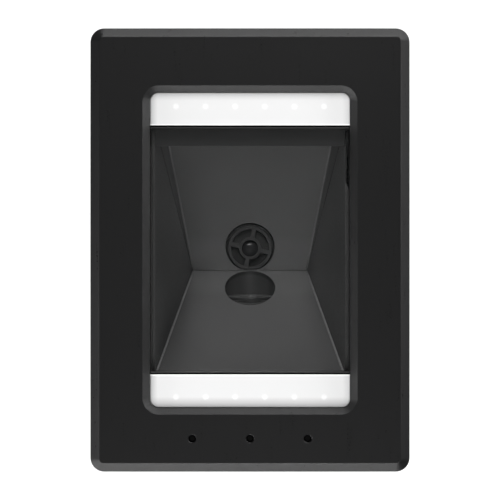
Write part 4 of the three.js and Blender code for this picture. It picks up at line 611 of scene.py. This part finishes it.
BEZEL_SECTION = (
    # Half width, half length, corner radius and height of each corner of the bezel's section, and
    # the share of the edge round that eases it
    (55.0, 76.4, 4.8, 55.997, 0.6), (55.0, 76.4, 4.8, 69.597, 0.5), (51.7, 73.1, 1.5, 72.897, 0.6),
    (36.85, 56.35, 5.6, 72.897, 0.4), (34.45, 54.3, 2.9, 70.097, 0.5),
    (34.45, 54.3, 2.9, 64.297, 1), (36.85, 56.7, 5.7, 64.297, 1), (36.85, 56.7, 5.7, 70.297, 1),
    (50.9, 72.3, 1.1, 70.297, 1), (52.4, 73.8, 2.2, 68.797, 1), (52.4, 73.8, 2.2, 57.997, 1),
    (53.7, 75.1, 3.5, 57.997, 1), (53.7, 75.1, 3.5, 55.997, 1))
OPENING_LIMIT = 40  # the section's corners within this half width are those of the opening
RELIEF_Y, RELIEF_Z = 41.9, 69.297
# Radius and height of each corner of an indicator hole, from below to above the face
HOLE_PROFILE = ((1.235, 60), (1.235, 72.4), (1.32, 72.72), (1.5, 72.897), (1.6, 74))


def bezel_grid(edge_round):
    """The bezel's section carried round the case.

    The rim under the opening is low beside the window and high over the two light boxes, so the
    height of its lowest rows depends on how far along Y a point lies.
    """
    shares = np.array([corner[4] for corner in BEZEL_SECTION])
    rows = eased([(*centred(*corner[:3]), corner[3]) for corner in BEZEL_SECTION],
                 edge_round * shares)
    grid = outlines(rows, (-RELIEF_Y - 0.05, -RELIEF_Y, RELIEF_Y, RELIEF_Y + 0.05))
    over_box = np.abs(grid[:, :, 1]) > RELIEF_Y + 0.01
    opening = (rows[:, 1] < OPENING_LIMIT)[:, None]
    height = grid[:, :, 2]
    grid[:, :, 2] = np.where(over_box & opening, np.maximum(height, RELIEF_Z), height)
    return grid


class READER_OT_bezel(bpy.types.Operator):
    """Makes the face bezel with its eased edges and three indicator holes"""
    bl_idname = "reader.bezel"
    bl_label = "Face bezel"

    def execute(self, context):
        settings = context.scene.reader_case
        shell = moulded_plastic("shell_plastic", settings.shell_colour, settings.shell_roughness,
                                settings.grain_size / MM, 0.01, 0.33)
        bezel = new_piece("bezel_face", [bezel_grid(settings.edge_round / MM)], shell,
                          ["face_bezel"], close_rows=True)
        hole = turned(HOLE_PROFILE, 32)
        cut_out(bezel, [hole + np.array([x, y, 0]) for x, y in INDICATOR_PLACES])
        bezel.data.set_sharp_from_angle(angle=radians(40))
        weigh_normals(bezel)
        return {"FINISHED"}


# Radius and height of each corner of a foot
FOOT_PROFILE = ((2.6, 0.4), (4.2, 0.4), (4.6, 0), (6.4, 0), (7, 0.6), (7, 3), (6, 3))


class READER_OT_housing(bpy.types.Operator):
    """Makes the rear housing and its four rubber feet"""
    bl_idname = "reader.housing"
    bl_label = "Rear housing"

    def execute(self, context):
        shell = bpy.data.materials["shell_plastic"]
        eased_copy("housing_tub", "rear_housing", shell, 0.35)
        rubber = moulded_plastic("foot_rubber", (0.012, 0.012, 0.012), 0.8, 0.8, 0.03, 0.3)
        foot = turned(eased(FOOT_PROFILE, 0.25, closed=False))
        feet = nodes_named("rubber_foot")
        new_piece("foot_pads", [foot + middle_of(name) for name in feet], rubber, feet)
        return {"FINISHED"}


HOUSING_SCREW = {"head": 2.8, "height": 2.2, "shank": 1.25, "length": 18, "recess": 1.3}
BAR_HALF, BAR_END = 0.16, 0.62  # half width and reach of the cross's bars as shares of the head
SCREW_PITCH, SCREW_STEP = 0.6, 0.2


def screw_grid(head, height, shank, length, recess):
    """A round-headed screw whose shank points up.

    The head's height over each radius and angle is its dome, less the recess where the point
    lies in a bar of the cross. Behind the head the shank's radius ripples as a thread.
    """
    radius = np.linspace(0.06, 1, 26)[:, None] * head
    angle = full_turn(48)
    x, y = radius * np.cos(angle), radius * np.sin(angle)
    arm = np.minimum(np.abs(x), np.abs(y))
    in_bar = np.clip((BAR_HALF * head - arm) / (0.05 * head), 0, 1)
    in_cross = in_bar * np.clip((BAR_END * head - radius) / (0.1 * head), 0, 1)
    dome = -height + 0.45 * height * (radius / head) ** 3
    face = np.stack([x, y, dome + recess * in_cross], -1)
    along = np.arange(SCREW_STEP, length, SCREW_STEP)
    ripple = shank * (1 - 0.1 * (0.5 - 0.5 * np.cos(2 * pi * along / SCREW_PITCH)))
    neck = [(head, -0.35 * height), (head, 0), (shank, 0)]
    return np.concatenate([face, turned([*neck, *zip(ripple, along), (0.4 * shank, length)])])


class READER_OT_screws(bpy.types.Operator):
    """Makes the four screws that show in the wells of the base, and eases the hidden ones"""
    bl_idname = "reader.screws"
    bl_label = "Screws"

    def execute(self, context):
        steel = brushed_metal("plated_steel", (0.5, 0.51, 0.52), 0.35)
        screws = nodes_named("housing_screw")
        shoulder = box_of(screws[0])[0][2] + HOUSING_SCREW["height"]
        shape = screw_grid(**HOUSING_SCREW) + np.array([0, 0, shoulder])
        new_piece("base_screws", [shape + middle_of(name) for name in screws], steel,
                  screws)
        for start in ("chamber_screw", "mirror_bracket_screw", "camera_board_screw",
                      "lens_holder_screw", "main_board_screw", "light_board_screw",
                      "indicator_screw"):
            dress(nodes_named(start), steel, 0.12)
        return {"FINISHED"}


BEAD_RADIUS = 0.6
BEAD_GAPS = (0.4, 0.3)  # how far the beads stay away from the valley and from the end wall
# Radius and depth of each corner of the sleeve in the bore
SLEEVE_PROFILE = ((8.65, -3.5), (9.35, -3.5), (9.35, -1.2), (8.65, -1.2))


def bead_grid(side):
    """The bead where the floor meets a side wall: a circle carried along the seam.

    A point of the seam lies a distance s along Y from the valley, where the height is the floor's
    slope times s and the half width grows by the side's slope times that height.
    """
    along = np.linspace(BEAD_GAPS[0], END_WALL_Y + VALLEY_Y - BEAD_GAPS[1], 30)[:, None]
    angle = full_turn(12)[:, ::side]
    height = FLOOR_SLOPE * along
    x = VALLEY_HALF + SIDE_SLOPE * height + BEAD_RADIUS * np.cos(angle)
    z = VALLEY_Z + height + BEAD_RADIUS * np.sin(angle)
    return np.stack([side * x, VALLEY_Y - along + 0 * angle, z], -1)


class READER_OT_chamber(bpy.types.Operator):
    """Makes the chamber under the window, the beads of its floor and the sleeve in its bore"""
    bl_idname = "reader.chamber"
    bl_label = "Optical chamber"

    def execute(self, context):
        settings = context.scene.reader_optics
        plastic = moulded_plastic("chamber_plastic", settings.chamber_colour, 0.36, 0.6, 0.004)
        # the chamber's plastic gets painted light and shade by place
        chamber_shading(plastic, settings.shelf_shade_colour)
        eased_copy("chamber_well", "optical_chamber", plastic, 0.25)
        # painted highlight: the bead takes the chamber's colour at about twice its lightness, for
        # the bright line along the seam
        gloss = moulded_plastic("bead_painted_highlight", tinted(settings.chamber_colour, 2.1), 0.3, 0.6,
                                0.002)
        new_piece("floor_beads", [bead_grid(side) for side in (-1, 1)], gloss)
        new_piece("bore_sleeve", [turned_about_lens(SLEEVE_PROFILE)], plastic,
                  close_rows=True, sharp=50)
        return {"FINISHED"}


def mirror_grid():
    """The mirror: a plate with eased edges whose half width grows up its slope."""
    grid = slab((-1, 1, MIRROR_START, MIRROR_END, 0.2, 0.2),
                (-1, 1, MIRROR_START + 1, MIRROR_END - 1, 0.2, 0.2), -MIRROR_THICKNESS, 0, 0.08)
    grid[:, :, 0] *= MIRROR_HALF + MIRROR_SPREAD * grid[:, :, 1]
    return placed(grid, (0, VALLEY_Y, VALLEY_Z), MIRROR_TILT)


class READER_OT_mirror(bpy.types.Operator):
    """Makes the fold mirror"""
    bl_idname = "reader.mirror"
    bl_label = "Fold mirror"

    def execute(self, context):
        settings = context.scene.reader_optics
        coating, tree, shader = new_material("mirror_coating", settings.mirror_colour)
        dust = noise(tree, position(tree), 300, 3)
        feed(shader, {"Metallic": 1, "Roughness": between(tree, dust, 0.01, 0.03)})
        new_piece("mirror_plate", [mirror_grid()], coating, ["fold_mirror"])
        return {"FINISHED"}


def block_grid(name, ease):
    """An eased block as large as a CAD node's box."""
    (west, south, bottom), (east, north, top) = box_of(name)
    wide = (west, east, south, north, ease, ease)
    narrow = (west + 2 * ease, east - 2 * ease, south + 2 * ease, north - 2 * ease, ease, ease)
    return slab(wide, narrow, bottom, top, ease)


class READER_OT_window(bpy.types.Operator):
    """Makes the window glass and the tape under its sides"""
    bl_idname = "reader.window"
    bl_label = "Window"

    def execute(self, context):
        glass, tree, shader = new_material("coated_glass", (0.02, 0.024, 0.024))
        slant = feed(tree.nodes.new("ShaderNodeLayerWeight"), {"Blend": 0.15}).outputs["Fresnel"]
        smudge = noise(tree, position(tree), 60, 3)
        feed(shader, {"Alpha": between(tree, slant, 0.05, 0.6, (0, 1)),
                      "Roughness": between(tree, smudge, 0.02, 0.06)})
        (west, south, bottom), (east, north, top) = box_of("window_glass")
        pane = slab(centred(east, north, 0.9), centred(east - 1, north - 1, 0.5), bottom, top, 0.2)
        new_piece("window_pane", [pane], glass, ["window_glass"])
        tape = moulded_plastic("window_tape", (0.045, 0.045, 0.045), 0.7, 0.5, 0.02)
        tapes = ["right_window_tape", "left_window_tape"]
        new_piece("foam_tape", [block_grid(name, 0.1) for name in tapes], tape, tapes)
        return {"FINISHED"}


PANEL_SECTION = (
    # Half width, inner edge, outer edge, inner and outer corner radius, height
    (35.1, 43.85, 55.75, 0.2, 1.2, 68.297), (36.1, 42.85, 56.75, 0.25, 1.7, 68.297),
    (36.1, 42.85, 56.75, 0.25, 1.7, 68.997), (34.25, 42.85, 54.1, 0.25, 2.7, 68.997),
    (34.25, 42.85, 54.1, 0.25, 2.7, 69.997), (33.25, 43.6, 53.1, 0.2, 2.0, 69.997))
PANELS = (
    # Name, node, side of the window, Y of its lights, how far its inner edge stands back, and
    # where painted shade dims it towards the end of the case and to what share
    ("upper_panel", "upper_diffuser", 1, 49.35, 0.17, (51.5, 54.2, 0.4)),
    ("lower_panel", "lower_diffuser", -1, -50.7, 0.07, (50.6, 54.0, 0.1)))
PANEL_X, PANEL_Y = 0.1, 48  # the middle of the panels, and where their inner half ends


class READER_OT_panels(bpy.types.Operator):
    """Makes the two light panels with the glow of the six lights behind each"""
    bl_idname = "reader.panels"
    bl_label = "Light panels"

    def execute(self, context):
        settings = context.scene.reader_optics
        grid = outlines(eased([(-section[0], *section) for section in PANEL_SECTION], 0.3,
                              closed=False))
        inner = grid[:, :, 1:2] < PANEL_Y
        for name, node, side, row_y, set_back, fade in PANELS:
            panel, tree, shader = new_material(name + "_diffuser", roughness=0.4)
            glow, shade = panel_glow(tree, settings, row_y, fade)
            # painted shade: the plastic darkens to this copy towards its outer edges
            shaded = tinted(settings.panel_colour, 0.6)
            feed(shader, {
                "Base Color": mixed(tree, shade, shaded, settings.panel_colour),
                "Emission Color": (1, 1, 1, 1),
                "Emission Strength": glow,
                "Normal": bump(tree, noise(tree, position(tree), 2500, 2), 0.004)})
            shape = (grid + inner * np.array([0, set_back, 0])) * np.array([side, side, 1])
            new_piece(name, [shape + np.array([PANEL_X, 0, 0])], panel, [node])
        return {"FINISHED"}


FACE_RADII = (8.3, 3.22)
SLOT_RADII = (4.3, 7.2)
SLOT_WALL = (0.05, 0.16)  # how far outside a slot its wall begins, and how wide the wall is
# Radius and depth of each corner behind the face: round the lens glass, and round the rim
BARREL_BACK = ((3.15, -1.55), (4.3, -1.6), (4.3, -5.6), (3.6, -5.6), (3.6, -14), (5.8, -14))
BARREL_RIM = ((6, -5.8), (6, -2.4), (8.55, -2.4), (8.55, -0.25), (8.32, 0))
LIP_DEPTH = 0.06
THREAD_RADIUS, THREAD_RISE, THREAD_STEP = 5.87, 0.13, 0.125
THREAD_REACH = (-13.6, -6.0)  # the depths between which the thread runs
GLASS_BODY = ((1, -5.55), (4.25, -5.55), (4.25, -1.65))
GLASS_RADIUS, GLASS_CROWN = 3.1, 1.1


def barrel_grid():
    """The lens barrel as a profile carried round the lens axis, with four arc slots in its face.

    On the face a point's depth is the slot depth times a ramp of its distance inside the slot,
    the smallest of r - inner radius, outer radius - r and r sin b - half the spoke, where b is the
    angle from the nearest spoke.
    """
    angle = full_turn(480)
    radius = np.linspace(*FACE_RADII, 66)[:, None]
    spoke = np.abs((angle - SPOKE_TURN + pi / 4) % (pi / 2) - pi / 4)
    within = np.minimum(np.minimum(radius - SLOT_RADII[0], SLOT_RADII[1] - radius),
                        radius * np.sin(spoke) - SPOKE_WIDTH / 2)
    ramp = np.clip((within + SLOT_WALL[0]) / SLOT_WALL[1], 0, 1)
    face = about_lens(radius, -SLOT_DEPTH * ramp * ramp * (3 - 2 * ramp), angle)
    thread = np.arange(*THREAD_REACH, THREAD_STEP)
    ridge = THREAD_RADIUS + THREAD_RISE * np.cos(2 * pi * thread / THREAD_PITCH)
    profile = np.concatenate([eased(BARREL_BACK, 0.1, 3, closed=False),
                              np.stack([ridge, thread], -1),
                              eased(BARREL_RIM, 0.12, 4, closed=False)])
    lip = about_lens(BARREL_BACK[0][0], -LIP_DEPTH, angle)
    return np.concatenate([about_lens(profile[:, :1], profile[:, 1:], angle), face, lip])


def dome_grid():
    """The front element: a disc with a domed front, carried round the lens axis.

    At a share s of its radius the front lies c (1 - s^2) before its edge, where c is its crown.
    """
    share = np.sin(np.linspace(pi / 2, 0.03, 14))
    front = GLASS_BODY[-1][1] + GLASS_CROWN * (1 - share ** 2)
    return turned_about_lens([*GLASS_BODY, *zip(GLASS_RADIUS * share, front)])


class READER_OT_lens(bpy.types.Operator):
    """Makes the slotted lens barrel and its front element, and finishes what carries them"""
    bl_idname = "reader.lens"
    bl_label = "Lens"

    def execute(self, context):
        settings = context.scene.reader_optics
        barrel = moulded_plastic("anodised_barrel", settings.lens_colour, 0.4, 0.3, 0.004)
        # the barrel gets painted light and shade by place
        barrel_shading(barrel, settings.lens_colour)
        new_piece("lens_ring", [barrel_grid()], barrel, ["lens_barrel"],
                  close_rows=True, body="lens_barrel", sharp=50)
        # painted reflection: the glass takes a grey colour that grows lighter towards its rim, in
        # place of the reflections it shows
        lens, tree, shader = new_material("lens_coating", roughness=0.04)
        rim = tree.nodes.new("ShaderNodeLayerWeight").outputs["Facing"]
        feed(shader, {"Base Color": mixed(tree, rim, (0.085, 0.085, 0.088), (0.12, 0.115, 0.125)),
                      "Specular IOR Level": 0.7})
        new_piece("lens_dome", [dome_grid()], lens, ["lens_glass"],
                  body="lens_carriage", sharp=50)
        holder = moulded_plastic("holder_plastic", (0.02, 0.02, 0.021), 0.45, 0.4, 0.006)
        dress(["lens_holder"], holder, 0.2)
        dress(["mirror_bracket"], holder, 0.3)
        brass = brushed_metal("turned_brass", (0.6, 0.42, 0.12), 0.3)
        dress(["lens_lock_ring"], brass, 0.15)
        return {"FINISHED"}


class READER_OT_boards(bpy.types.Operator):
    """Finishes the circuit boards, their chips, leads and foam, and the light guide"""
    bl_idname = "reader.boards"
    bl_label = "Boards and leads"

    def execute(self, context):
        green = solder_resist("green_resist", (0.02, 0.11, 0.05))
        for name in ("main_board", "indicator_board"):
            board = green.copy()
            board.name = name + "_resist"
            parts_above(board, BOARD_TOPS[name], (0.02, 0.02, 0.021))
            dress([name], board, 0.12)
        dress(["camera_board"], green, 0.12)
        white = solder_resist("white_resist", (0.5, 0.5, 0.48))
        parts_above(white, BOARD_TOPS["light_boards"], (0.7, 0.55, 0.16))
        dress(["upper_light_board", "lower_light_board"], white, 0.1)
        chip = moulded_plastic("chip_package", (0.015, 0.015, 0.017), 0.45, 0.2, 0.005)
        dress(["processor", "image_sensor", "buzzer"], chip, 0.12)
        film, tree, shader = new_material("amber_film", roughness=0.3)
        stripes = noise(tree, position(tree, (1, 0.02, 0.02)), 900, 1)
        tracks = between(tree, stripes, 0, 1, (0.45, 0.55))
        feed(shader, {"Base Color": mixed(tree, tracks, (0.45, 0.22, 0.04), (0.6, 0.34, 0.1))})
        dress(["upper_light_lead", "lower_light_lead", "camera_flex", "indicator_lead"], film,
              0.05)
        foam = moulded_plastic("black_foam", (0.02, 0.02, 0.02), 0.9, 0.3, 0.05, 0.2)
        dress(["lower_mirror_pad", "upper_mirror_pad"], foam, 0.2)
        guide = moulded_plastic("smoked_guide", (0.002, 0.002, 0.002), 0.2, 0.5, 0.001, 0.1)
        dress(["indicator_light_guide"], guide, 0.15)
        return {"FINISHED"}


CONTACTS, CONTACT_PITCH, CONTACT_RADIUS = 10, 1.02, 0.3
CONTACT_BACK, CONTACT_TOP = 12.8, 22.997  # distance from the socket's mouth, and height
CONTACT_SLOPE = radians(10)
# How far each point of a contact wire lies from its back end, and how far its tip bends up
CONTACT_REACH = np.array([0, 2, 4, 6, 7.4, 8.1, 8.5])
CONTACT_BEND = np.array([0, 0, 0, 0, 0, 0.25, 0.7])


def contact_grid(index):
    """A contact wire: a circle carried along a sloping line with a bent tip."""
    back = box_of("interface_socket")[1][1] - CONTACT_BACK
    rise = CONTACT_TOP - np.tan(CONTACT_SLOPE) * CONTACT_REACH + CONTACT_BEND
    angle = full_turn(10)
    middle = (index - (CONTACTS - 1) / 2) * CONTACT_PITCH
    x = middle + CONTACT_RADIUS * np.sin(angle) + 0 * rise[:, None]
    z = rise[:, None] + CONTACT_RADIUS * np.cos(angle)
    return np.stack([x, back + CONTACT_REACH[:, None] + 0 * angle, z], -1)


class READER_OT_socket(bpy.types.Operator):
    """Makes the interface socket in the rear wall and its contact wires"""
    bl_idname = "reader.socket"
    bl_label = "Interface socket"

    def execute(self, context):
        body = moulded_plastic("socket_plastic", (0.018, 0.018, 0.019), 0.4, 0.3, 0.004)
        eased_copy("socket_shell", "interface_socket", body, 0.12)
        gold = brushed_metal("gold_contacts", (0.8, 0.55, 0.2), 0.25)
        wires = [contact_grid(index) for index in range(CONTACTS)]
        new_piece("socket_contacts", wires, gold)
        return {"FINISHED"}


# Studio

LAMP_DISTANCE = 1.0
LAMP_AIM = Vector((0, 0, 0.06))
LAMPS = (
    # Name, bearing, elevation, width, height, level
    ("rear_right_low", 61, 4.5, 1.7, 0.12, 1.28),
    ("front_left_low", 241, 4.5, 1.7, 0.12, 1.48),
    ("rear_left_low", 110, 5, 0.35, 0.12, 0.06),
    ("front_right_low", 290, 5, 0.35, 0.12, 0.07),
    ("right_low", 8, 14, 0.5, 0.2, 0.38),
    ("left_low", 192, 14, 0.5, 0.2, 0.27),
    ("rear_high", 94, 46, 0.6, 0.4, 0.35),
    ("front_high", 276, 46, 0.6, 0.4, 0.42),
    ("overhead", 90, 89, 0.5, 0.5, 0.032),
    ("front_top", 270, 64, 0.5, 0.25, 0.04),
    ("rear_top", 78, 66, 0.2, 0.2, 0.035),
    ("left_high", 215, 42, 0.5, 0.3, 0.06),
    ("rear_left_mid", 115, 32, 0.5, 0.3, 0.1),
    ("front_right_mid", 295, 32, 0.5, 0.3, 0.1),
)


def softbox(name, bearing, elevation, width, height, level):
    """A lamp seen from the object at a bearing (0 is +X, 90 is +Y) and an elevation, in degrees.

    Its level is how bright a white card that faces it would render.
    """
    lamp = bpy.data.lights.new(name, "AREA")
    lamp.shape = "RECTANGLE"
    lamp.size = width
    lamp.size_y = height
    lamp.energy = level * (pi * LAMP_DISTANCE) ** 2
    towards = Vector((cos(radians(bearing)) * cos(radians(elevation)),
                      sin(radians(bearing)) * cos(radians(elevation)), sin(radians(elevation))))
    holder = bpy.data.objects.new(name, lamp)
    holder.location = towards * LAMP_DISTANCE + LAMP_AIM
    holder.rotation_euler = (-towards).to_track_quat("-Z", "Y").to_euler()
    bpy.context.scene.collection.objects.link(holder)


class READER_OT_studio(bpy.types.Operator):
    """Sets the camera, the table, the lamps and the world"""
    bl_idname = "reader.studio"
    bl_label = "Studio"

    def execute(self, context):
        settings = context.scene.reader_studio
        scene = context.scene
        scene.view_settings.view_transform = "Standard"
        camera = bpy.data.objects.new("camera", bpy.data.cameras.new("camera"))
        camera.data.lens = settings.focal_length
        camera.data.sensor_width = 36
        camera.data.clip_start = 0.01
        camera.location = (0, 0, settings.camera_height)
        scene.collection.objects.link(camera)
        scene.camera = camera

        half = settings.table_width / 2
        corners = [(-half, -half, 0), (half, -half, 0), (half, half, 0), (-half, half, 0)]
        mesh = bpy.data.meshes.new("floor")
        mesh.from_pydata(corners, [], [(0, 1, 2, 3)])
        floor = bpy.data.objects.new("floor", mesh)
        scene.collection.objects.link(floor)
        material, tree, shader = new_material("studio_floor", settings.floor_colour, 1)
        rays = tree.nodes.new("ShaderNodeLightPath").outputs
        mirrored = maths(tree, "MAXIMUM", rays["Is Glossy Ray"], rays["Is Transmission Ray"])
        seen = maths(tree, "MAXIMUM", rays["Is Camera Ray"], mirrored)
        feed(shader, {
            "Specular IOR Level": 0,
            "Emission Color": (1, 1, 1, 1),
            "Emission Strength": product(tree, seen, settings.floor_glow)})
        floor.data.materials.append(material)

        world = bpy.data.worlds.new("studio")
        scene.world = world
        world.use_nodes = True
        feed(world.node_tree.nodes["Background"],
             {"Color": (1, 1, 1, 1), "Strength": settings.world_level})

        for lamp in LAMPS:
            softbox(*lamp)
        return {"FINISHED"}


class READER_PT_panel(bpy.types.Panel):
    """Lists the pieces of the reader in the order in which they are made"""
    bl_idname = "READER_PT_panel"
    bl_label = "Desktop code reader"
    bl_space_type = "VIEW_3D"
    bl_region_type = "UI"
    bl_category = "Reader"

    def draw(self, context):
        for operator in OPERATORS:
            self.layout.operator(operator.bl_idname)
        for group in SETTINGS:
            settings = getattr(context.scene, group)
            box = self.layout.box()
            for name in settings.bl_rna.properties.keys():
                if name not in ("rna_type", "name"):
                    box.prop(settings, name)


SETTINGS = {
    "reader_case": CaseSettings,
    "reader_optics": OpticsSettings,
    "reader_studio": StudioSettings,
}
OPERATORS = (READER_OT_studio, READER_OT_bezel, READER_OT_housing, READER_OT_screws,
             READER_OT_chamber, READER_OT_mirror, READER_OT_window, READER_OT_panels,
             READER_OT_lens, READER_OT_boards, READER_OT_socket)


def register():
    for cls in (*SETTINGS.values(), *OPERATORS, READER_PT_panel):
        bpy.utils.register_class(cls)
    for name, cls in SETTINGS.items():
        setattr(bpy.types.Scene, name, bpy.props.PointerProperty(type=cls))


def unregister():
    for name in SETTINGS:
        delattr(bpy.types.Scene, name)
    for cls in (READER_PT_panel, *reversed(OPERATORS), *SETTINGS.values()):
        bpy.utils.unregister_class(cls)


def main():
    register()
    for operator in OPERATORS:
        group, name = operator.bl_idname.split(".")
        getattr(getattr(bpy.ops, group), name)()


if __name__ == "__main__":
    main()
